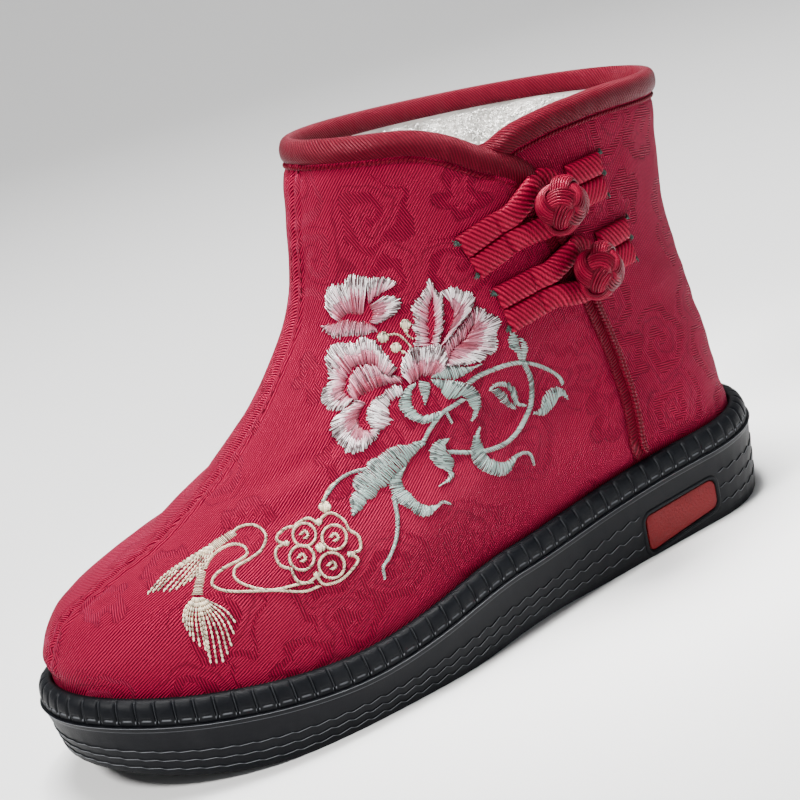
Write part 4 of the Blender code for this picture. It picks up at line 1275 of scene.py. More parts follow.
def floor_height(along):
    """Height of the tread, which rises at the toe, the arch and the back of the heel."""
    toe = np.clip((along - TOE_SPRING_START) / (1 - TOE_SPRING_START), 0, 1)
    heel = np.clip((HEEL_ROCKER_END - along) / HEEL_ROCKER_END, 0, 1)
    arch = np.clip((along - ARCH_START) / (ARCH_END - ARCH_START), 0, 1)
    return TOE_SPRING * toe**2 + HEEL_ROCKER * heel**2 + ARCH_LIFT * np.sin(math.pi * arch) ** 2


def badge_zone(angle):
    """1 where the side wall carries the badge's plain frame, else 0."""
    x = (along_of(angle) - 0.5) * SOLE_LENGTH
    middle = (BADGE_ALONG - 0.5) * SOLE_LENGTH
    inside = ease((BADGE_LENGTH / 2 + BADGE_FRAME - np.abs(x - middle)) / 0.0012 + 0.5)
    return np.where(np.sin(angle) > 0, inside, 0.0)


def wall_inset(share):
    """Inset of the plain wall, by share of the way down from the lip to the floor edge."""
    return LIP_DEPTH + (WALL_TAPER - LIP_DEPTH) * share


def wall_point(angle, inset, height):
    """Points over the sole's outline, moved inwards, at their heights."""
    return np.concatenate([outline(angle, inset), height[..., None]], axis=-1)


def rounded_rings(rings, radius):
    """The same rings with every one but the first and the last turned into a small round edge."""
    rings = np.array(rings)
    soft = [rings[0]]
    for before, here, after in zip(rings[:-2], rings[1:-1], rings[2:]):
        for other in (before, after):
            run = other - here
            size = np.linalg.norm(run, axis=-1, keepdims=True)
            soft.append(here + run / np.maximum(size, 1e-9) * np.minimum(radius, size * 0.42))
        soft.insert(-1, (soft[-1] + soft[-2] + 2 * here) / 4)
    return np.array(soft + [rings[-1]])


def sole_rings():
    """Rings of the outsole from the footbed's edge, down the stepped wall, to the tread, and the painted
    highlight on their points.
    """
    columns = TEETH * TOOTH_COLUMNS
    angles = even_angles(columns)
    along = along_of(angles)
    plain = badge_zone(angles)
    phase = (np.arange(columns) / TOOTH_COLUMNS + 0.25) % 1
    falling, rising = 1 - 2 * phase / TOOTH_FALL, -1 + 2 * (phase - TOOTH_FALL) / (1 - TOOTH_FALL)
    saw = np.where(phase < TOOTH_FALL, falling, rising) / 2
    mirrored = np.where(np.sin(angles) > 0, saw, saw[::-1])
    tooth = mirrored * (1 - plain)
    zigzag, relief = TOOTH_RISE * tooth * (1 - 0.6 * ease((along - 0.55) / 0.3)), TOOTH_RELIEF * tooth
    seat, floor = seat_height(along), floor_height(along)
    lip = seat - LIP_HEIGHT
    places = [(WELT_INSET, seat), (-0.0001, seat - 0.00015), (wall_inset(0.0), lip - LIP_HEIGHT)]
    for step in ("first", "second", "third"):
        share = read(STEPS, step, along)
        height = mix(lip, floor, share) + zigzag
        inset = wall_inset(share) - relief
        places.append((inset + STEP_DEPTH / 2 * (1 - plain), height))
        places.append((inset - STEP_DEPTH / 2 * (1 - plain), height - STEP_DROP))
    places += [(wall_inset(1.0) - relief, floor), (WALL_TAPER + TREAD_RIM, floor)]
    order = np.minimum(np.arange(columns), columns - np.arange(columns)) / TOOTH_COLUMNS
    wave = np.abs((order / LUG_TEETH + 0.25) % 1 - 0.5) * 2
    sunk = ease((wave - 0.5) * 5 + 0.5)
    arch = ease((along - ARCH_START) / 0.03) * ease((ARCH_END - along) / 0.03)
    places.append((WALL_TAPER + TREAD_RIM + TREAD_BANK, floor + TREAD_DEPTH * sunk * (1 - arch)))
    rings = [wall_point(angles, inset, height) for inset, height in places]
    # Painted highlight on the outer edge of each ledge, weaker on the steep parts of the zigzag that face
    # away from the light, and on the lip's lines.
    wear_and_highlight = np.zeros((3 * len(rings) - 4, columns))
    long_part = 0.45 + 0.55 * (np.where(np.sin(angles) > 0, phase, phase[::-1]) < 0.66)
    for edge in (4, 6, 8):
        wear_and_highlight[3 * edge - 1] = long_part * (1 - plain)
    wear_and_highlight[2], wear_and_highlight[5] = 0.9, 0.35
    return rounded_rings(rings, EDGE_ROUND), wear_and_highlight


def bridge(ring, rows):
    """Rows of points across the sole, between the points of a ring that face each other."""
    half = len(ring) // 2
    near, far = ring[: half + 1], np.concatenate([ring[:1], ring[::-1][:half]])
    share = np.linspace(0, 1, rows)[None, :, None]
    return near[:, None] * (1 - share) + far[:, None] * share


def join(name, parts):
    """One closed mesh of several, with touching points merged and normals outwards."""
    built = bmesh.new()
    for part in parts:
        built.from_mesh(part)
        bpy.data.meshes.remove(part)
    merge_points(built)
    bmesh.ops.dissolve_degenerate(built, edges=built.edges, dist=1e-7)
    bmesh.ops.recalc_face_normals(built, faces=built.faces)
    mesh = bpy.data.meshes.new(name)
    built.to_mesh(mesh)
    built.free()
    mesh.shade_smooth()
    return mesh


def badge_outline(grow):
    """Stations along the badge with the heights of its lower and upper edge."""
    half, corner = BADGE_LENGTH / 2 + grow, BADGE_CORNER + grow
    turns = np.linspace(0, math.pi / 2, 9)
    ends = half - corner + corner * np.sin(turns)
    falls = corner - corner * np.cos(turns)
    along = np.concatenate([-ends[::-1], np.linspace(-0.8, 0.8, 9) * (half - corner), ends])
    fall = np.concatenate([falls[::-1], np.zeros(9), falls])
    height = (BADGE_HEIGHT + 2 * grow) * (1 - BADGE_TAPER * along / half) / 2
    fall = np.minimum(fall, height * 0.9)
    return along, -height + fall, height - fall


def badge_place(along, edge, inset):
    """Points on the side wall of the heel, along the badge and up from its middle line."""
    angle = outer_angle((BADGE_ALONG - 0.5) * SOLE_LENGTH + along)
    share = along_of(angle)
    lip, floor = seat_height(share) - LIP_HEIGHT, floor_height(share)
    height = BADGE_UP + edge + along * BADGE_SLOPE
    return wall_point(angle, wall_inset((lip - height) / (lip - floor)) + inset, height)


def badge_block(name, grow, back, front, dome=0.0):
    """A block that follows the side wall of the heel, from one inset to another."""
    along, lower, upper = badge_outline(grow)
    domed = front - dome
    face = [(0.0, back), (1.0, back), (1.0, front), (0.93, domed), (0.5, domed), (0.07, domed), (0.0, front)]
    sections = [badge_place(along, mix(lower, upper, up), inset) for up, inset in face]
    mesh = grid_mesh(name, np.stack(sections, axis=1), round_columns=True)
    close_ends(mesh, len(face))
    return mesh


def build_welt():
    """The beaded strip: pillow-shaped beads with a moulded dash in each and a rib in each groove, with
    painted highlights on their small edges.
    """
    columns = TEETH * BEAD_COLUMNS
    angles = even_angles(columns)
    phase = np.arange(columns) % BEAD_COLUMNS / BEAD_COLUMNS
    near = np.minimum(phase, 1 - phase)
    relief = BEAD_RELIEF * (np.interp(near, BEAD_PHASES, BEAD_HEIGHTS) - 0.75)
    dash = SLOT_DEPTH * ease((0.5 - np.abs(phase - 0.5) - 0.22) / 0.10)
    seat = seat_height(along_of(angles))
    rings, wear_and_highlight = [], []
    for across, up, crown, slot in zip(*WELT_PROFILE.values()):
        inset = WELT_INSET + across * WELT_DEPTH - crown * relief + slot * dash
        height = seat + CLEARANCE + up * (WELT_HEIGHT - CLEARANCE)
        rings.append(wall_point(angles, inset, height))
        # Painted highlights: thin light lines on the rib in each groove, on two dots under each bead, on the
        # lower lip of each dash and along the foot.
        rib = 0.22 * (near < 0.02) * (crown >= 0.75) * (up > 0.12)
        dots = 0.9 * ((near > 0.06) & (near < 0.1)) * (0.12 < up < 0.18)
        dashed = 0.5 * dash / SLOT_DEPTH * (0.18 < up < 0.22)
        foot = np.full(columns, 0.5 * (0.02 < up < 0.06))
        wear_and_highlight.append(np.maximum.reduce([rib, dots, dashed, foot]))
    mesh = grid_mesh("rubber_welt", np.array(rings), round_columns=True, round_rows=True, flip=True)
    mark(mesh, "wear_and_highlight", np.concatenate(wear_and_highlight))
    piece = add_piece(mesh, "rubber_welt", bpy.data.materials["black rubber"])
    mesh.set_sharp_from_angle(angle=math.radians(60))
    dress(piece, "welt", "welt")


def build_sole(colours):
    """The moulded sole with its badge, and the raised frame round it."""
    rubber = rubber_material(colours)
    rings, wear_and_highlight = sole_rings()
    wall = grid_mesh("wall", rings, round_columns=True)
    # Painted highlight on the ledges' edges and the lip.
    mark(wall, "wear_and_highlight", wear_and_highlight.reshape(-1))
    top = grid_mesh("top", bridge(rings[0], TOP_ROWS))
    under = grid_mesh("under", bridge(rings[-1], UNDER_ROWS))
    sole = add_piece(join("rubber_sole", [wall, top, under]), "rubber_sole", rubber)
    deep = BADGE_THICKNESS + CLEARANCE
    cutter = in_scene("badge_cutter", badge_block("badge_cutter", BADGE_GROOVE, deep, -BADGE_THICKNESS))
    pocket = sole.modifiers.new("badge pocket", "BOOLEAN")
    pocket.operation, pocket.object, pocket.solver = "DIFFERENCE", cutter, "EXACT"
    graph = bpy.context.evaluated_depsgraph_get()
    carved = bpy.data.meshes.new_from_object(sole.evaluated_get(graph))
    sole.modifiers.clear()
    sole.data = carved
    carved.name = "rubber_sole"
    carved.set_sharp_from_angle(angle=math.radians(38))
    bpy.data.objects.remove(cutter)
    dress(sole, "outsole", "outsole")
    plate = badge_block("sole_badge_plate", 0.0, BADGE_THICKNESS, 0.0001, 0.0003)
    badge = add_piece(plate, "sole_badge_plate", badge_material(colours))
    plate.set_sharp_from_angle(angle=math.radians(50))
    dress(badge, "sole_badge", "sole_badge")
    along, lower, upper = badge_outline(0.0013)
    along, edge = np.concatenate([along, along[::-1]]), np.concatenate([lower, upper[::-1]])
    line = badge_place(along, edge, 0.0003)
    line = np.concatenate([line, line[:1]])
    source = line_mesh("badge_frame", [line], r=[np.full(len(line), 0.00078)])
    dress(made_plain(source, "badge_frame", THREADS, rubber, Sides=10), "outsole")


# Frog closures

TAPE_PROFILE = {
    "across": (-0.5, -0.5, -0.485, -0.44, -0.36, -0.24, -0.10, 0.05, 0.20, 0.33, 0.43, 0.485, 0.5, 0.5),
    "up": (0.0, 0.30, 0.52, 0.72, 0.87, 0.96, 1.0, 1.0, 0.97, 0.88, 0.74, 0.52, 0.30, 0.0),
}
TAPE_STEP = 0.00020
RIB_PITCH = 0.0016
RIB_LEAN = 0.6
RIB_HEIGHT = 0.00036
LOOP_PINCH = 0.0135
LEADS = 3
BIGHTS = 4
KNOT_STATIONS = 288
CORDS = 8
CORD_RADIUS = 0.00043
BAND_REACH = 0.0036 * 0.93
CORD_SINK = 0.0009
CORD_WEAVE = 0.00085
CORD_ROUND = 0.00035
KNOT_TURN = math.radians(20)
CORE_SINK = 0.0016
TUFT_THREADS = 16
TUFT_RADIUS = 0.00017


class Patch:
    """A flat drawing laid on the upper: its own axes run along and across a frog closure."""

    def __init__(self, along, rise, tilt):
        self.angle = float(outer_angle((along - 0.5) * SOLE_LENGTH))
        self.rise = rise
        self.centre = upper_point(self.angle, rise)
        self.normal = upper_normal(self.angle, rise)
        level = unit(np.cross(self.normal, (0.0, 0.0, 1.0)))
        upright = np.cross(level, self.normal)
        self.ahead = -level * math.cos(tilt) + upright * math.sin(tilt)
        self.across = np.cross(self.normal, self.ahead)

    def solve(self, along, across):
        """Angle and rise of the surface point over a place in the drawing."""
        angle = np.full(np.shape(along), self.angle)
        rise = np.full(np.shape(along), self.rise)
        for _ in range(SOLVE_STEPS):
            here = self.flat(angle, rise)
            by_angle = (self.flat(angle + SLOPE_STEP, rise) - here) / SLOPE_STEP
            by_rise = (self.flat(angle, rise + SLOPE_STEP) - here) / SLOPE_STEP
            miss = np.stack([along, across], -1) - here
            area = by_angle[..., 0] * by_rise[..., 1] - by_angle[..., 1] * by_rise[..., 0]
            angle += (miss[..., 0] * by_rise[..., 1] - miss[..., 1] * by_rise[..., 0]) / area
            rise += (miss[..., 1] * by_angle[..., 0] - miss[..., 0] * by_angle[..., 1]) / area
        return angle, rise

    def flat(self, angle, rise):
        offset = shell_point(angle, share_at(angle, rise)) - self.centre
        return np.stack([offset @ self.ahead, offset @ self.across], -1)

    def place(self, along, across, lift):
        angle, rise = self.solve(along, across)
        return upper_point(angle, rise, clear_lift(angle, rise) + lift)


def clear_lift(angle, rise):
    """Height over the shell that clears the front panel's lap and its bound edge."""
    distance = past_lap(angle, rise)
    begun = ease((distance + SLIT_WIDTH) / SLIT_WIDTH)
    over = begun * ease((3 * SLIT_WIDTH - distance) / SLIT_WIDTH)
    lap = LAP_STEP * begun * (1 - ease(distance / LAP_FADE))
    return CLEARANCE + lap + over * (SLIT_THICKNESS + CLEARANCE)


def tape_path(path):
    """The same path with even steps and softened bends."""
    length = along_length(path)
    even = np.linspace(0, length[-1], int(length[-1] / TAPE_STEP))
    stepped = at_lengths(even, length, path)
    inside = softened(stepped, 3)
    inside[0], inside[-1] = stepped[0], stepped[-1]
    return even, inside


def ribbed_tape(patch, path, width, lean, name, material, pinch=None):
    """A domed tape with slanted ribs, along a path in a patch's drawing, pressed in where it is stitched."""
    even, path = tape_path(np.asarray(path, float))
    ahead = unit(np.gradient(path, axis=0))
    side = np.stack([-ahead[:, 1], ahead[:, 0]], -1)
    across, up = (np.array(TAPE_PROFILE[part]) for part in ("across", "up"))
    place = path[:, None] + side[:, None] * across[None, :, None] * width
    keep = np.append(np.arange(0, len(even), 10), len(even) - 1)
    found = patch.solve(place[keep, ..., 0], place[keep, ..., 1])
    angle, rise = (at_lengths(np.arange(len(even)), keep, grid) for grid in found)
    around = along_length(np.stack([across * width, up * FROG_THICKNESS], -1))
    around = around[::-1] if lean < 0 else around
    rib = np.abs(np.sin((even[:, None] + abs(lean) * around) * math.pi / RIB_PITCH)) ** 0.8
    ribs = RIB_HEIGHT * (2 * rib - 1.5) * np.clip(up * 2 - 0.4, 0, 1)
    ends = np.minimum(even, even[-1] - even)[:, None]
    dome = FROG_THICKNESS * up * (0.35 + 0.65 * ease(ends / 0.0010))
    if pinch is not None:
        dome = dome * (1 - 0.45 * np.exp(-(((ends - pinch) / 0.0008) ** 2)))
    points = upper_point(angle, rise, clear_lift(angle, rise) + dome + ribs)
    uv = np.stack(np.broadcast_arrays(even[:, None], around[None, :]), -1)
    uv = np.concatenate([uv, uv[:, -1:]], axis=1)
    mesh = grid_mesh(name, points, uv, round_columns=True)
    close_ends(mesh, len(across))
    return add_piece(mesh, name, material)


def cord_band(reach):
    """Centre lines of the cords that weave a ball knot: a Turk's head of four bights and three leads.
    Each has its turn, its tilt, its height over and under, and how near the band's edge it runs."""
    s = np.linspace(0, 2 * math.pi, KNOT_STATIONS, endpoint=False)
    azimuth = LEADS * s
    polar = math.pi * (0.30 + 0.26 * np.cos(BIGHTS * s))
    height = np.sin(2 * BIGHTS * s)
    along = np.stack([np.gradient(azimuth) * np.sin(polar), np.gradient(polar)], -1)
    side = unit(np.stack([-along[:, 1], along[:, 0]], -1))
    lines = []
    for offset in np.linspace(-1, 1, CORDS):
        turn = azimuth + side[:, 0] * offset * reach / np.maximum(np.sin(polar), 0.18)
        lines.append((turn, polar + side[:, 1] * offset * reach, height, abs(offset)))
    return lines


def build_frogs(colours):
    """The two frog closures: a looped tape, a folded tail and a ball knot, tacked with green thread."""
    red, green = colours.frog, colours.tuft
    # 1.7 and 0.22 set the painted highlight on the tape's ribs and the painted shade between them.
    tape = satin_material("frog tape", red, RIB_PITCH, RIB_LEAN, 0.00008, 1.7, 0.22)
    shades = darker(red, 0.08), darker(red, 0.55), brighter(red, 1.5)
    cord = thread_material("knot cord", *shades, 0.30, (1.0, 0.14, 0.22, 1.0), 0.35)
    # The core is painted in dark shades of the red: painted shadow that shows in the gaps between the knot's
    # cords.
    core = thread_material("painted shade knot core", *(darker(red, share) for share in (0.12, 0.25, 0.35)), 0.7)
    tuft = thread_material("dark green thread", darker(green, 0.5), green, brighter(green, 1.8))
    arm = FROG_BAND / 2 + CLEARANCE / 2
    eye = NECK_DIAMETER / 2 + CLEARANCE + FROG_BAND / 2
    turn = np.linspace(math.pi / 2, -math.pi / 2, 33)
    bend = np.stack([eye * np.cos(turn), eye * np.sin(turn)], -1)
    straight = np.linspace(-FROG_LOOP, 0, 60)[:-1]
    upper_arm = np.stack([straight, mix(arm, eye, ease(1 + straight / EYE_START))], -1)
    loop = np.concatenate([upper_arm, bend, upper_arm[::-1] * (1, -1)])
    begin = eye + FROG_BAND / 2 + 2 * CLEARANCE
    tufts = []
    for name, along, rise, loop_slope, tail_slope in zip(*FROGS.values()):
        patch = Patch(along, rise, math.radians(loop_slope))
        title = f"frog_loop_tape_{name}"
        piece = ribbed_tape(patch, loop, FROG_BAND, RIB_LEAN, title, tape, LOOP_PINCH)
        dress(piece, f"frog_loop_{name}", f"frog_loop_{name}")

        tail = Patch(along, rise, math.radians(tail_slope))
        for side, part in ((1, "a"), (-1, "b")):
            path = np.stack([np.linspace(begin, FROG_TAIL, 40), np.full(40, side * arm)], -1)
            title = f"frog_tail_tape_{name}_{part}"
            piece = ribbed_tape(tail, path, FROG_BAND - 0.0001, RIB_LEAN * side, title, tape)
            dress(piece, f"frog_tail_{name}", *([f"frog_tail_{name}"] if part == "a" else []))
        build_knot(patch, name, cord, core)
        random = np.random.default_rng(61)
        spots = [(tail, FROG_TAIL + 0.0005, s * arm) for s in (1.8, 0.1, -1.8)]
        spots += [(patch, -FROG_LOOP - 0.0006, s * arm) for s in (1.5, -1.5)]
        for sheet, x, y in spots:
            for _ in range(TUFT_THREADS):
                t = np.linspace(0, 1, 8)[:, None]
                way = random.normal(0, 0.0009, 2)
                place = np.array([x, y]) + (t - 0.5) * way + random.normal(0, 0.0003, 2)
                lift = 0.0003 + 0.0011 * np.sin(math.pi * t[:, 0]) * random.uniform(0.3, 1.0)
                tufts.append(sheet.place(place[:, 0], place[:, 1], lift))
    sizes = [np.full(len(line), TUFT_RADIUS) for line in tufts]
    tints = [np.full(len(line), random.uniform(0.2, 0.9)) for line in tufts]
    source = line_mesh("tuft_lines", tufts, r=sizes, tint=tints)
    dress(made_plain(source, "frog_end_threads", THREADS, tuft, Sides=4), "frog_tail_upper")


def build_knot(patch, name, cord, core):
    """A ball of flat bands of cord woven over a core coloured as painted shadow for the gaps between the
    cords.
    """
    base = float(clear_lift(np.array([patch.angle]), np.array([patch.rise]))[0])
    middle = base + FROG_THICKNESS + CLEARANCE + KNOT_THICKNESS / 2
    wide, tall = KNOT_DIAMETER / 2, KNOT_THICKNESS / 2

    def ball(turn, tilt, grow):
        rise = (tall + grow) * np.cos(tilt)
        out = (wide + grow) * np.sin(tilt)
        flat = np.cos(turn)[..., None] * patch.ahead + np.sin(turn)[..., None] * patch.across
        return patch.centre + patch.normal * (middle + rise)[..., None] + flat * out[..., None]

    turns = np.linspace(0, 2 * math.pi, 48, endpoint=False)
    turns, tilts = np.meshgrid(turns, np.linspace(0.02, math.pi - 0.35, 26))
    mesh = grid_mesh(f"painted_shade_knot_core_{name}", ball(turns, tilts, -CORE_SINK), round_columns=True)
    close_ends(mesh, len(turns[0]))
    dress(add_piece(mesh, f"painted_shade_knot_core_{name}", core), f"frog_button_{name}")
    lines, tints = [], []
    random = np.random.default_rng(71)
    for turn, tilt, height, edge in cord_band(BAND_REACH / wide):
        line = ball(turn + KNOT_TURN, tilt, -CORD_SINK + CORD_WEAVE * height - CORD_ROUND * edge**2)
        line = np.concatenate([line, line[:1]])
        lines.append(line)
        # Each cord has its own tone at random, and cords near a band's edge are painted darker: painted shade
        # where they dip.
        tints.append(np.full(len(line), random.uniform(0.35, 0.75) - 0.25 * edge**2))
    radii = [np.full(len(line), CORD_RADIUS) for line in lines]
    source = line_mesh(f"knot_lines_{name}", lines, r=radii, tint=tints)
    piece = made_plain(source, f"knot_{name}", THREADS, cord, Sides=6)
    dress(piece, f"frog_button_{name}", f"frog_button_{name}")


# Stage


def view_axes():
    """The camera's right, up and backward directions, and its place."""
    azimuth, elevation, roll = (math.radians(a) for a in (VIEW_AZIMUTH, VIEW_ELEVATION, VIEW_ROLL))
    level = math.cos(elevation)
    back = np.array([math.sin(azimuth) * level, math.cos(azimuth) * level, math.sin(elevation)])
    right = unit(np.cross((0.0, 0.0, 1.0), back))
    up = np.cross(back, right)
    across = math.cos(roll) * right + math.sin(roll) * up
    upright = -math.sin(roll) * right + math.cos(roll) * up
    aim = np.array([0.0, 0.0, VIEW_HEIGHT])
    return across, upright, back, aim + VIEW_DISTANCE * back - VIEW_ACROSS * across - VIEW_UP * upright


def add_light(name, place, target, energy, size, colour, beam=math.pi):
    """A round lamp that looks at a point."""
    light = bpy.data.lights.new(name, "AREA")
    light.shape = "DISK"
    light.size, light.energy, light.color, light.spread = size, energy, colour, beam
    lamp = in_scene(name, light)
    lamp.location = place
    lamp.rotation_euler = (Vector(target) - Vector(place)).to_track_quat("-Z", "Y").to_euler()
    return lamp


def build_stage(sizes, colours):
    """A pale floor that rises softly behind the boot, soft lights and the camera."""
    across, upright, back, place = view_axes()
    flat, bend, wall = 1.2, 0.9, 1.6
    runs = [(-2.2, 0.0), (flat, 0.0)]
    turns = np.linspace(0, math.pi / 2, 24)[1:]
    runs += [(flat + bend * math.sin(turn), bend - bend * math.cos(turn)) for turn in turns]
    runs += [(flat + bend, bend + wall)]
    away = -np.array([back[0], back[1], 0.0])
    away /= np.linalg.norm(away)
    sideways = np.cross(away, (0.0, 0.0, 1.0))
    points = np.array([[away * x + np.array([0, 0, z]) + sideways * s for s in (-3.0, 3.0)] for x, z in runs])
    mesh = grid_mesh("backdrop", points, flip=True)
    paper, _ = new_material(
        "pale paper", Roughness=0.85, Specular_IOR_Level=0.2, Base_Color=(*colours.backdrop, 1.0)
    )
    floor = add_piece(mesh, "backdrop", paper)
    left, front, boot = -across, back * (1, 1, 0), (0, 0, 0.06)
    key = left * 0.75 + front * 0.75 + (0, 0, 0.95)
    fill = -left + front * 0.8 + (0, 0, 0.6)
    top = -front * 0.12 + (0, 0, 1.15)
    collar, beam = (-0.075, 0.0, 0.10), math.radians(45)
    lamps = [
        add_light("collar_light", (-0.075, 0.0, 0.55), collar, 0.62, 0.16, (1.0, 0.99, 0.97), beam),
        add_light("key_light", key, boot, 33.0, 0.34, (1.0, 0.985, 0.96)),
        add_light("fill_light", fill, boot, 6.0, 0.9, (0.96, 0.98, 1.0)),
        add_light("top_light", top, (-0.06, 0, 0.10), 30.0, 0.55, (1.0, 1.0, 1.0)),
    ]
    world = bpy.data.worlds.new("studio")
    bpy.context.scene.world = world
    world.use_nodes = True
    sky = world.node_tree.nodes["Background"].inputs
    sky[0].default_value, sky[1].default_value = (0.93, 0.94, 0.96, 1.0), sizes.world_strength
    view = bpy.data.cameras.new("photo_camera")
    view.sensor_width = SENSOR
    view.lens = VIEW_FOCUS / PICTURE * SENSOR
    view.clip_start, view.clip_end = 0.02, 20.0
    camera = in_scene("photo_camera", view)
    turn = Matrix([across, upright, back]).transposed().to_4x4()
    camera.matrix_world = Matrix.Translation(Vector(place)) @ turn
    bpy.context.scene.camera = camera


# Embroidery

# Where the two drawings lie on the picture that the camera sees, and their units to its pixels.
# The rails and lines below were drawn over the flowers and over the cords.
FLOWERS = {"corner": (300.0, 260.0), "scale": 5.6}
CORDS_PLACE = {"corner": (20.0, 480.0), "scale": 3.92}
THREAD_RADIUS = 0.00018
THREAD_GAP = 1.50
LONG_STITCH = 21.0

# Petals: outer rail, inner rail, tint at the base and at the tip, padding
PETALS = (
    ("165,300 138,250 138,200 165,145 240,130 262,100 300,80 350,90 378,105",
     "215,345 235,325 262,305 290,300 320,300 350,305", 0.30, 1.0, 0.0004),
    ("378,100 430,97 490,97 535,115 540,132", "385,250 410,215 440,200 465,180 500,160", 0.35, 1.0, 0.0004),
    ("478,200 530,205 568,230 560,265 520,310 460,345 430,355",
     "385,260 400,280 410,300 405,320 400,335 395,345 390,350", 0.25, 1.0, 0.0004),
    ("110,375 140,405 200,440 270,430 340,425 430,405",
     "140,368 190,350 250,335 310,345 370,345 420,370", 0.05, 0.75, 0.0003),
    ("155,600 140,560 160,495 210,465 270,460 310,470 325,445 365,432 410,445 445,480 470,520 510,555 "
     "545,600",
     "250,690 265,650 285,620 310,600 340,590 370,583 400,585 425,595 445,615 460,640 490,660", 0.28, 1.0,
     0.0005),
    ("155,600 160,650 155,690 120,745 122,790 150,830 195,848 240,835 285,790",
     "262,650 250,690 248,710 250,740 255,750 262,755 270,765 280,775 300,775", 0.30, 1.0, 0.0005),
    ("265,730 268,690 290,640 310,605 360,585 410,588 445,615 455,640 500,645 550,650",
     "310,800 330,770 360,750 390,740 420,720 450,710 480,700 510,690 540,690 580,690", 0.05, 0.62, 0.0004),
    ("300,790 270,820 220,860 180,900 170,940 180,990 230,1040 260,1075 310,1080 370,1060 410,1020 "
     "440,980 445,950",
     "370,800 345,830 330,860 325,890 330,920 340,940 355,950 370,955 385,955 400,950", 0.28, 1.0, 0.0005),
    ("560,695 500,720 440,760 395,805 375,850 375,900 400,940",
     "575,755 535,775 510,800 495,835 500,870 512,905 470,945", 0.85, 1.0, 0.0005),
    ("570,640 565,600 575,550 600,510 640,485 700,480 760,470 800,485 825,520 825,560 815,600",
     "620,700 630,685 650,670 670,655 690,648 710,645 725,650 735,650 745,650 755,645 770,640", 0.25, 1.0,
     0.0005),
    ("640,478 650,420 628,380 640,320 620,265 650,225 690,180 722,105",
     "730,480 725,440 720,400 715,360 718,320 722,280 730,240 745,190", 0.22, 1.0, 0.0004),
    ("722,105 760,160 790,190 800,230 805,300 800,380 790,430 780,480",
     "745,190 748,240 752,280 755,320 755,360 750,400 745,440 740,480", 0.30, 1.0, 0.0004),
    ("790,170 830,150 880,155 920,175 960,185 980,210 970,255 940,300 900,350 860,400 820,450 790,480",
     "845,245 850,260 860,280 865,300 860,330 850,360 840,390 825,420 805,450 790,475", 0.25, 1.0, 0.0005),
    ("800,480 840,430 880,390 930,330 965,280", "828,570 860,500 900,460 940,415 975,350", 0.05, 0.55,
     0.0003),
    ("970,270 1010,265 1060,300 1120,320 1125,360 1100,400 1110,450 1100,510 1050,530 1040,550 980,580 "
     "900,590 830,590",
     "980,350 975,360 965,380 955,400 940,420 920,445 900,465 880,485 860,500 845,520 835,545 828,565 "
     "820,585",
     0.25, 1.0, 0.0005),
)

# Leaves: the two rails that the stitches run between, and padding
LEAVES = (
    ("735,655 780,600 850,590 940,600 1020,578", "740,660 800,665 860,670 910,650 960,620 1020,580",
     0.0004),
    ("735,665 800,668 870,675 930,690 980,715 1008,760 1010,820 985,880 960,900",
     "745,690 785,725 820,775 860,775 900,760 930,780 955,820 970,850 958,898", 0.0004),
    ("665,680 672,730 690,785 697,810", "725,690 728,720 722,765 700,810", 0.0004),
    ("640,690 590,720 560,770 555,820 580,860 620,895 680,915 740,905 790,875",
     "650,700 630,730 622,780 630,820 655,855 690,870 720,868 750,855 785,850", 0.0004),
    ("690,1020 600,1035 520,1045 470,1075 440,1100 380,1130 370,1170 310,1210 295,1260 310,1290 "
     "280,1330 285,1380 290,1430",
     "700,1035 650,1080 610,1130 590,1160 540,1210 490,1260 440,1290 420,1330 380,1340 360,1380 "
     "330,1410 300,1432",
     0.0005),
    ("580,1160 500,1240 510,1290 550,1360 620,1400 640,1420 700,1440 740,1420 770,1385",
     "590,1165 570,1220 580,1270 620,1310 660,1350 700,1370 740,1375 770,1375", 0.0004),
    ("1180,395 1168,440 1175,490 1215,525 1225,570", "1195,400 1220,430 1228,470 1235,520 1240,570",
     0.0004),
    ("1225,440 1235,480 1235,530 1240,570", "1250,440 1275,480 1270,520 1260,570", 0.0004),
    ("1060,722 1095,688 1145,682 1190,705 1212,750 1225,795 1262,810",
     "1062,730 1100,710 1150,712 1175,740 1190,780 1205,815 1262,820", 0.0003),
    ("1075,735 1105,770 1140,810 1200,838", "1110,715 1150,745 1175,790 1205,825", 0.0004),
    ("1305,850 1345,830 1358,780 1385,730 1435,710 1480,730 1500,785",
     "1310,865 1360,870 1400,845 1430,810 1440,780 1470,760 1500,785", 0.0004),
    ("830,998 775,1012 735,1045 725,1095 755,1145 810,1170 835,1200 815,1235 778,1265",
     "832,1005 815,1040 825,1080 855,1110 862,1150 850,1180 862,1205 835,1240 785,1262", 0.0004),
    ("1000,935 970,1000 955,1070 965,1120 1000,1165 1050,1195 1110,1210 1160,1200 1195,1150 1215,1100",
     "1008,940 1010,1000 1030,1050 1045,1090 1075,1115 1110,1130 1145,1130 1170,1120 1190,1105 "
     "1212,1095", 0.0004),
)

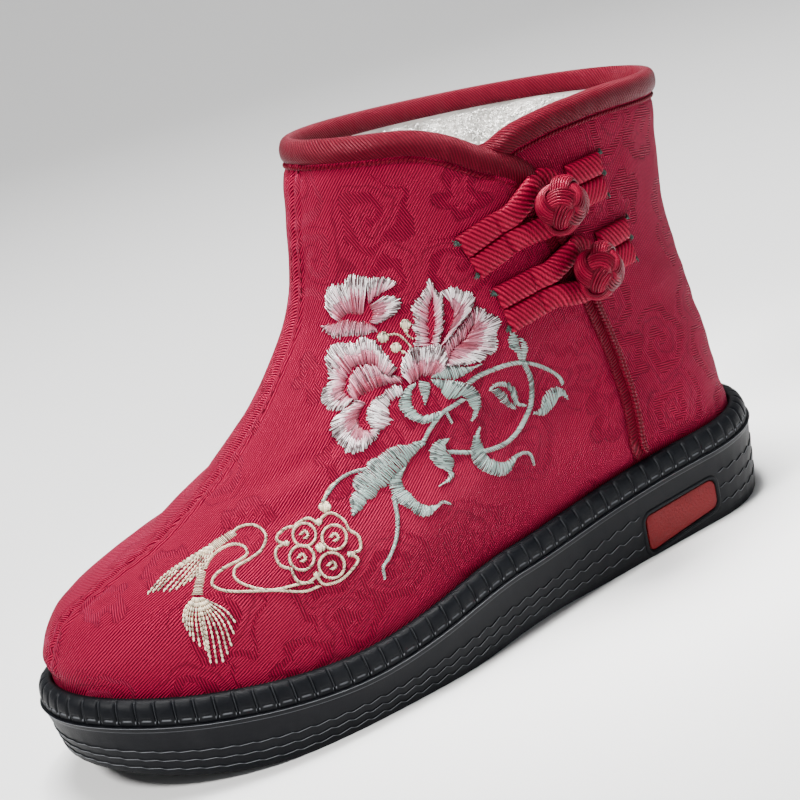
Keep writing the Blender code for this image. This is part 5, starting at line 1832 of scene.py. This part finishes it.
# Stems and vines: line, and width at its start and end
VINES = (
    ("915,780 870,810 800,855 760,900 720,960 690,1015 640,1030", 26, 22),
    ("820,855 850,910", 18, 14),
    ("770,1380 800,1355 840,1365", 18, 12),
    ("370,1170 290,1190 220,1230 170,1290 130,1350", 20, 16),
    ("945,690 1000,650 1080,615 1170,585 1250,575 1330,590 1400,620 1450,655 1470,690", 28, 20),
    ("1250,575 1275,620 1295,680 1298,750 1290,820 1260,890 1220,960 1160,1020 1090,1055 1010,1075 "
     "940,1078 830,1075", 30, 24),
    ("1210,1100 1250,1080 1290,1090 1310,1145", 24, 12),
)
STAMEN_DOTS = "590,360,28 465,432,30 537,490,28 578,515,10 590,395,10"
STAMEN_LINES = (
    ("600,400 600,420 630,440", 12, 10),
    ("495,420 540,415 580,440 620,485", 12, 10),
)

# Cream cords, tassels and medallion, in the second drawing
KNOT_DOTS = "1195,105,22 1170,165,13 1178,265,17 1045,248,11 1295,290,11 1163,372,12"
MEDALLION_RINGS = "1115,215,45 1232,225,48 1105,305,48 1222,335,50"
MEDALLION_LINES = (
    "1170,172 1130,150 1085,172 1078,182 1045,188 1012,215 1010,238 1036,250",
    "1036,250 1008,268 1003,300 1022,335 1062,350 1072,372 1092,398 1128,402 1163,378",
    "1163,378 1190,408 1235,402 1275,378 1318,330 1322,305 1290,290",
    "1290,290 1330,275 1335,245 1322,215 1290,195 1272,160 1225,130 1190,142 1170,172",
    "1100,215 1115,200 1130,215 1118,230", "1218,225 1235,210 1248,228 1232,240",
    "1092,305 1105,290 1120,308 1105,320", "1208,335 1225,320 1238,338 1222,350",
)
CORD_LINES = (
    "1145,400 1085,410 1000,430 930,425 870,405 840,375 850,340 900,310 945,275 965,225 945,190 905,175 "
    "860,185 830,210",
    "1175,415 1110,437 1000,433 850,437 790,430 755,410 765,375 810,340 860,315 890,290 880,262 840,252 "
    "790,270 750,305 725,350",
    "1250,0 1225,20 1205,45 1190,80",
)
TASSEL_NECKS = (("840,205 795,235 750,265", 26, 34), ("715,360 703,405 695,450", 28, 40))
TASSELS = (
    ("742,262", "500,450 520,442 540,437 562,440 585,440 612,432 640,416 665,400 690,382"),
    ("698,462", "640,560 648,578 655,592 668,614 682,634 706,655 730,670 742,695 748,720 772,720 797,715 "
     "815,685 830,652 840,605 846,560"),
)
MINT_TENDRIL = (("1465,60 1480,150 1475,230 1450,300 1425,340 1430,385", 18, 10),)


def drawn(text, place):
    """Points of a drawing as pixels of the picture, from 'x,y x,y'."""
    rows = np.array([[float(n) for n in pair.split(",")] for pair in text.split()])
    rows[:, :2] = np.array(place["corner"]) + rows[:, :2] / place["scale"]
    rows[:, 2:] /= place["scale"]
    return rows


def smooth_line(points, count):
    """A soft curve through points, at even steps."""
    if len(points) < 3:
        fine = mix(points[0], points[-1], np.linspace(0, 1, 60)[:, None])
    else:
        fine = np.concatenate([through(points, 14), points[-1:]])
    length = along_length(fine)
    return at_lengths(np.linspace(0, length[-1], count), length, fine)


class Cloth:
    """Finds the place on the cloth that lies behind a pixel of the camera's picture."""

    def __init__(self, piece):
        self.tree = BVHTree.FromPolygons(
            [v.co for v in piece.data.vertices], [tuple(p.vertices) for p in piece.data.polygons]
        )
        self.across, self.upright, self.back, self.place = view_axes()

    def find(self, pixels, lift):
        """Points over the pixels, lifted off the cloth, or None where a pixel misses it."""
        found = []
        for (x, y), height in zip(pixels, lift):
            way = (
                (x - PICTURE / 2) / VIEW_FOCUS * self.across
                - (y - PICTURE / 2) / VIEW_FOCUS * self.upright
                - self.back
            )
            hit, normal, _, _ = self.tree.ray_cast(Vector(self.place), Vector(way).normalized())
            if hit is None:
                return None
            found.append(np.array(hit) + np.array(normal) * height)
        return np.array(found)


class Needlework:
    """Collects threads of one colour family before they become one piece."""

    def __init__(self, cloth, seed):
        self.cloth = cloth
        self.random = np.random.default_rng(seed)
        self.lines, self.radii, self.tints, self.shades = [], [], [], []

    def thread(self, first, last, tints, padding, bow=0.0, radius=THREAD_RADIUS, base=0.00016, shade=None):
        """One stitch from one pixel to another: both ends dive into the cloth."""
        first, last = np.asarray(first, float), np.asarray(last, float)
        span = np.linalg.norm(last - first)
        count = int(np.clip(span / 3.0, 2, 7)) + 2
        t = np.linspace(0, 1, count)
        side = np.array([-(last - first)[1], (last - first)[0]])
        pixels = first + (last - first) * t[:, None] + side * (bow * np.sin(math.pi * t))[:, None]
        over = 1 - np.abs(2 * t - 1) ** 3
        lift = base * np.minimum(over * 3, 1) + padding * over + self.random.uniform(0, 0.00006) - 0.00008
        points = self.cloth.find(pixels, lift)
        if points is None:
            return
        self.lines.append(points)
        self.radii.append(radius * (0.75 + 0.25 * np.minimum(over * 4, 1)))
        self.tints.append(np.clip(mix(tints[0], tints[1], t), 0, 1))
        # Without a given shade, a few threads at random get painted shade, as if shadowed between their
        # neighbours.
        shade = 0.9 * self.random.uniform(0, 1) ** 3 if shade is None else shade
        self.shades.append(np.full(count, shade))

    def jitter(self, tints, size):
        """Tints at a stitch's base and tip, moved together at random."""
        shift = self.random.normal(0, size)
        return tints[0] + shift, tints[1] + shift

    def fill(self, outer, inner, tints, padding, ragged=2.0, gap=THREAD_GAP):
        """Satin stitches from an inner rail to an outer rail, in two lengths where the fill is deep."""
        long = max(along_length(outer)[-1], along_length(inner)[-1])
        count = max(int(long / gap), 3)
        outside, inside = smooth_line(outer, count), smooth_line(inner, count)
        for i in range(count):
            tip, base = outside[i], inside[i]
            span = np.linalg.norm(tip - base)
            if span < 0.5:
                continue
            way = (tip - base) / span
            rag = self.random.uniform(-ragged, ragged * 0.5, 2) * min(span / 9, 1)
            tip, base = tip + way * rag[0], base - way * rag[1]
            sway = self.random.normal(0, 0.35, 2)
            tip, base = tip + sway, base - sway
            jitter = self.random.normal(0, 0.14)
            bow = self.random.normal(0, 0.012)
            if span > LONG_STITCH:
                middle = self.random.uniform(0.36, 0.62) if i % 2 else self.random.uniform(0.30, 0.50)
                lap = middle + self.random.uniform(0.05, 0.16)
                turn = mix(*tints, middle)
                low = tints[0] - 0.26 + jitter, mix(*tints, 0.16) + jitter
                self.thread(base, mix(base, tip, lap), low, padding, bow)
                self.thread(mix(base, tip, middle), tip, (turn + 0.14 + jitter, tints[1]), padding, bow)
            else:
                self.thread(base, tip, (tints[0] + jitter, tints[1] + jitter), padding, bow)
            # Short dark threads beside some stitches near the tips: painted shadow in the gaps between
            # threads.
            if span > 6 and self.random.uniform() < 0.50:
                aside = np.array([-way[1], way[0]]) * gap / 2
                start, stop = self.random.uniform(0.55, 0.75), self.random.uniform(0.94, 1.04)
                first, last = mix(base, tip, start) + aside, mix(base, tip, stop) + aside
                self.thread(first, last, (0.0, 0.0), padding, 0.0, THREAD_RADIUS * 0.74, 0.00036, 1.0)

    def vine(self, line, start, end, slant=0.8):
        """A satin column along a line: short slanted stitches from side to side."""
        count = max(int(along_length(line)[-1] / THREAD_GAP), 3)
        path = smooth_line(line, count)
        ahead = unit(np.gradient(path, axis=0))
        side = np.stack([-ahead[:, 1], ahead[:, 0]], -1)
        width = np.linspace(start, end, count)[:, None] / 2
        for i in range(count):
            wide = width[i] * self.random.uniform(0.86, 1.08)
            first = path[i] - side[i] * wide - ahead[i] * wide * slant
            last = path[i] + side[i] * wide + ahead[i] * wide * slant
            self.thread(first, last, self.jitter((0.4, 0.6), 0.08), 0.0003, 0.0, THREAD_RADIUS * 0.9)

    def vines(self, rows, place, slant=0.8):
        """Columns along lines of a drawing, each with its width at the start and at the end."""
        for line, start, end in rows:
            self.vine(drawn(line, place), start / place["scale"], end / place["scale"], slant)

    def dot(self, x, y, radius):
        """A small round fill."""
        turn = np.linspace(0, math.pi, 9)
        top, low = (
            np.array([x, y]) + radius * np.stack([np.cos(turn), side * np.sin(turn)], -1) for side in (-1, 1)
        )
        self.fill(top, low, (0.5, 0.7), 0.0004, 0.2, gap=0.9)

    def run(self, line, stitch, radius):
        """Stitches along a line, each starting beside the end of the last."""
        count = max(int(along_length(line)[-1] / stitch), 2)
        path = smooth_line(line, count + 1)
        for before, after in zip(path, path[1:]):
            ahead = unit(after - before) * stitch
            first, last = before + ahead * 0.08, after - ahead * 0.16
            self.thread(first, last, self.jitter((0.6, 0.6), 0.12), 0.00025, 0.0, radius)

    def piece(self, name, material):
        source = line_mesh(name, self.lines, r=self.radii, tint=self.tints, shade=self.shades)
        dress(made_plain(source, name, THREADS, material, Sides=4), "upper")


def build_embroidery(colours):
    """Peonies, leaves and the cream cords with their medallion and tassels."""
    cloth = Cloth(bpy.data.objects["brocade_upper"])
    petals = Needlework(cloth, 81)
    for outer, inner, base, tip, padding in PETALS:
        petals.fill(drawn(outer, FLOWERS), drawn(inner, FLOWERS), (base, tip), padding)
    rose = colours.petal_dark, colours.petal_middle, colours.petal_light
    petals.piece("embroidered_petals", thread_material("petal thread", *rose))

    leaves = Needlework(cloth, 83)
    leaves.vines(VINES, FLOWERS)
    for first, second, padding in LEAVES:
        leaves.fill(drawn(first, FLOWERS), drawn(second, FLOWERS), (0.35, 0.75), padding, 0.7)
    leaves.vines(MINT_TENDRIL, CORDS_PLACE)
    leaf = colours.leaf
    mint = thread_material("leaf thread", darker(leaf, 0.45), leaf, lighter(leaf, 0.45))
    leaves.piece("embroidered_leaves", mint)

    cream = Needlework(cloth, 89)
    for dots, place in ((STAMEN_DOTS, FLOWERS), (KNOT_DOTS, CORDS_PLACE)):
        for x, y, radius in drawn(dots, place):
            cream.dot(x, y, radius)
    cream.vines(STAMEN_LINES, FLOWERS)
    turn = np.linspace(0, 2 * math.pi, 25)
    for x, y, radius in drawn(MEDALLION_RINGS, CORDS_PLACE):
        ring = np.array([x, y]) + radius * np.stack([np.cos(turn), np.sin(turn)], -1)
        cream.vine(ring, 2.6, 2.6, 0.9)
    for line in MEDALLION_LINES:
        cream.vine(drawn(line, CORDS_PLACE), 2.8, 2.8, 0.9)
    for line in CORD_LINES:
        cream.vine(drawn(line, CORDS_PLACE), 2.6, 2.6, 1.2)
    cream.vines(TASSEL_NECKS, CORDS_PLACE, 0.2)
    for root, ends in TASSELS:
        root, tips = drawn(root, CORDS_PLACE)[0], drawn(ends, CORDS_PLACE)
        wide = unit(tips[-1] - tips[0]) * 3.4
        for place, tip in zip(np.linspace(-1, 1, len(tips)), tips):
            first = root + wide * place
            bend = mix(first, tip, 0.45) + unit(wide) * place * 0.17 * np.linalg.norm(tip - first)
            cream.run(np.array([first, bend, tip]), 4.6, 0.00033)
    pale = colours.cream
    ivory = thread_material("cream thread", darker(pale, 0.6), pale, lighter(pale, 0.3))
    cream.piece("embroidered_cords", ivory)


# Add-on


def length(default, name, description):
    return bpy.props.FloatProperty(
        name=name, description=description, default=default, unit="LENGTH", precision=5
    )


def colour(default, name, description):
    return bpy.props.FloatVectorProperty(
        name=name, description=description, default=default, subtype="COLOR", size=3, min=0.0, max=1.0
    )


class BootSizes(bpy.types.PropertyGroup):
    """Sizes of the boot's looks."""

    twill_pitch: length(0.00092, "Twill pitch", "Distance between the brocade's diagonal ribs")
    figure_size: length(0.026, "Figure size", "Size of one woven scroll or blossom")
    rib_pitch: length(0.00105, "Binding rib pitch", "Distance between the ribs of the satin binding")
    seam_depth: length(0.0006, "Seam depth", "How far the front seam pulls the padded cloth in")
    pucker: length(0.0006, "Pucker", "Height of the puckers above the welt")
    pile_length: length(0.0009, "Pile length", "Length of the lining's tufts")
    pile_density: bpy.props.FloatProperty(
        name="Pile density", description="Tufts on a square millimetre near the collar", default=1.25
    )
    world_strength: bpy.props.FloatProperty(
        name="World strength", description="Strength of the pale light all round", default=0.16
    )


class BootColours(bpy.types.PropertyGroup):
    """Colours of the boot's materials."""

    brocade: colour((0.205, 0.0028, 0.024), "Brocade", "Red of the brocade")
    satin: colour((0.112, 0.0014, 0.011), "Satin", "Red of the satin binding")
    frog: colour((0.205, 0.003, 0.022), "Frogs", "Red of the frog closures")
    rubber: colour((0.0022, 0.0027, 0.0040), "Rubber", "Black of the sole and the welt")
    badge: colour((0.125, 0.004, 0.006), "Badge", "Red of the badge in the sole")
    fleece: colour((0.97, 0.95, 0.91), "Fleece", "White of the lining")
    petal_dark: colour((0.26, 0.02, 0.05), "Petal base", "Dark rose at the base of a petal")
    petal_middle: colour((0.62, 0.24, 0.32), "Petal middle", "Pink in the middle of a petal")
    petal_light: colour((1.0, 0.98, 0.98), "Petal tip", "White at the tip of a petal")
    leaf: colour((0.34, 0.47, 0.43), "Leaf", "Mint green of the leaves")
    cream: colour((0.80, 0.66, 0.46), "Cream", "Cream of the cords and the tassels")
    tuft: colour((0.010, 0.034, 0.026), "Tuft", "Dark green of the frogs' end threads")
    backdrop: colour((0.80, 0.80, 0.80), "Backdrop", "Pale paper under and behind the boot")


def settings(context):
    return context.scene.boot_sizes, context.scene.boot_colours


class BOOT_OT_trees(bpy.types.Operator):
    """Makes the node trees that the pieces share"""

    bl_idname = "boot.trees"
    bl_label = "Shared node trees"

    def execute(self, context):
        for make in (thread_tree, stitch_tree, pile_tree, weave_group, figure_group, grain_group):
            make()
        return {"FINISHED"}


class BOOT_OT_cloth(bpy.types.Operator):
    """Builds the padded brocade upper with its fleece lining and its seam stitches"""

    bl_idname = "boot.cloth"
    bl_label = "Brocade upper"

    def execute(self, context):
        sizes, colours = settings(context)
        build_cloth(sizes, colours)
        build_pile(sizes)
        build_insole()
        build_seam_stitches(colours)
        return {"FINISHED"}


class BOOT_OT_binding(bpy.types.Operator):
    """Builds the satin binding and its rows of stitches"""

    bl_idname = "boot.binding"
    bl_label = "Satin binding"

    def execute(self, context):
        sizes, colours = settings(context)
        build_binding(sizes, colours)
        build_rope_stitches(colours)
        return {"FINISHED"}


class BOOT_OT_sole(bpy.types.Operator):
    """Builds the rubber sole, its badge and the beaded welt"""

    bl_idname = "boot.sole"
    bl_label = "Rubber sole"

    def execute(self, context):
        build_sole(settings(context)[1])
        build_welt()
        return {"FINISHED"}


class BOOT_OT_frogs(bpy.types.Operator):
    """Builds the two frog closures"""

    bl_idname = "boot.frogs"
    bl_label = "Frog closures"

    def execute(self, context):
        build_frogs(settings(context)[1])
        return {"FINISHED"}


class BOOT_OT_embroidery(bpy.types.Operator):
    """Stitches the flowers, leaves, cords and tassels on the cloth"""

    bl_idname = "boot.embroidery"
    bl_label = "Embroidery"

    def execute(self, context):
        build_embroidery(settings(context)[1])
        return {"FINISHED"}


class BOOT_OT_stage(bpy.types.Operator):
    """Adds the pale floor, the lights and the camera"""

    bl_idname = "boot.stage"
    bl_label = "Stage"

    def execute(self, context):
        build_stage(*settings(context))
        return {"FINISHED"}


OPERATORS = (
    BOOT_OT_trees, BOOT_OT_cloth, BOOT_OT_binding, BOOT_OT_sole, BOOT_OT_frogs, BOOT_OT_embroidery,
    BOOT_OT_stage,
)


class BOOT_PT_panel(bpy.types.Panel):
    """Buttons that build the boot piece by piece"""

    bl_idname = "BOOT_PT_panel"
    bl_label = "Padded cloth boot"
    bl_space_type = "VIEW_3D"
    bl_region_type = "UI"
    bl_category = "Boot"

    def draw(self, context):
        for group in settings(context):
            box = self.layout.box()
            for name in group.bl_rna.properties.keys():
                if name not in ("rna_type", "name"):
                    box.prop(group, name)
        for operator in OPERATORS:
            self.layout.operator(operator.bl_idname)


CLASSES = (BootSizes, BootColours, *OPERATORS, BOOT_PT_panel)


def register():
    for item in CLASSES:
        bpy.utils.register_class(item)
    bpy.types.Scene.boot_sizes = bpy.props.PointerProperty(type=BootSizes)
    bpy.types.Scene.boot_colours = bpy.props.PointerProperty(type=BootColours)


def unregister():
    del bpy.types.Scene.boot_sizes
    del bpy.types.Scene.boot_colours
    for item in reversed(CLASSES):
        bpy.utils.unregister_class(item)


def main():
    register()
    for operator in OPERATORS:
        group, name = operator.bl_idname.split(".")
        getattr(getattr(bpy.ops, group), name)()


if __name__ == "__main__":
    main()
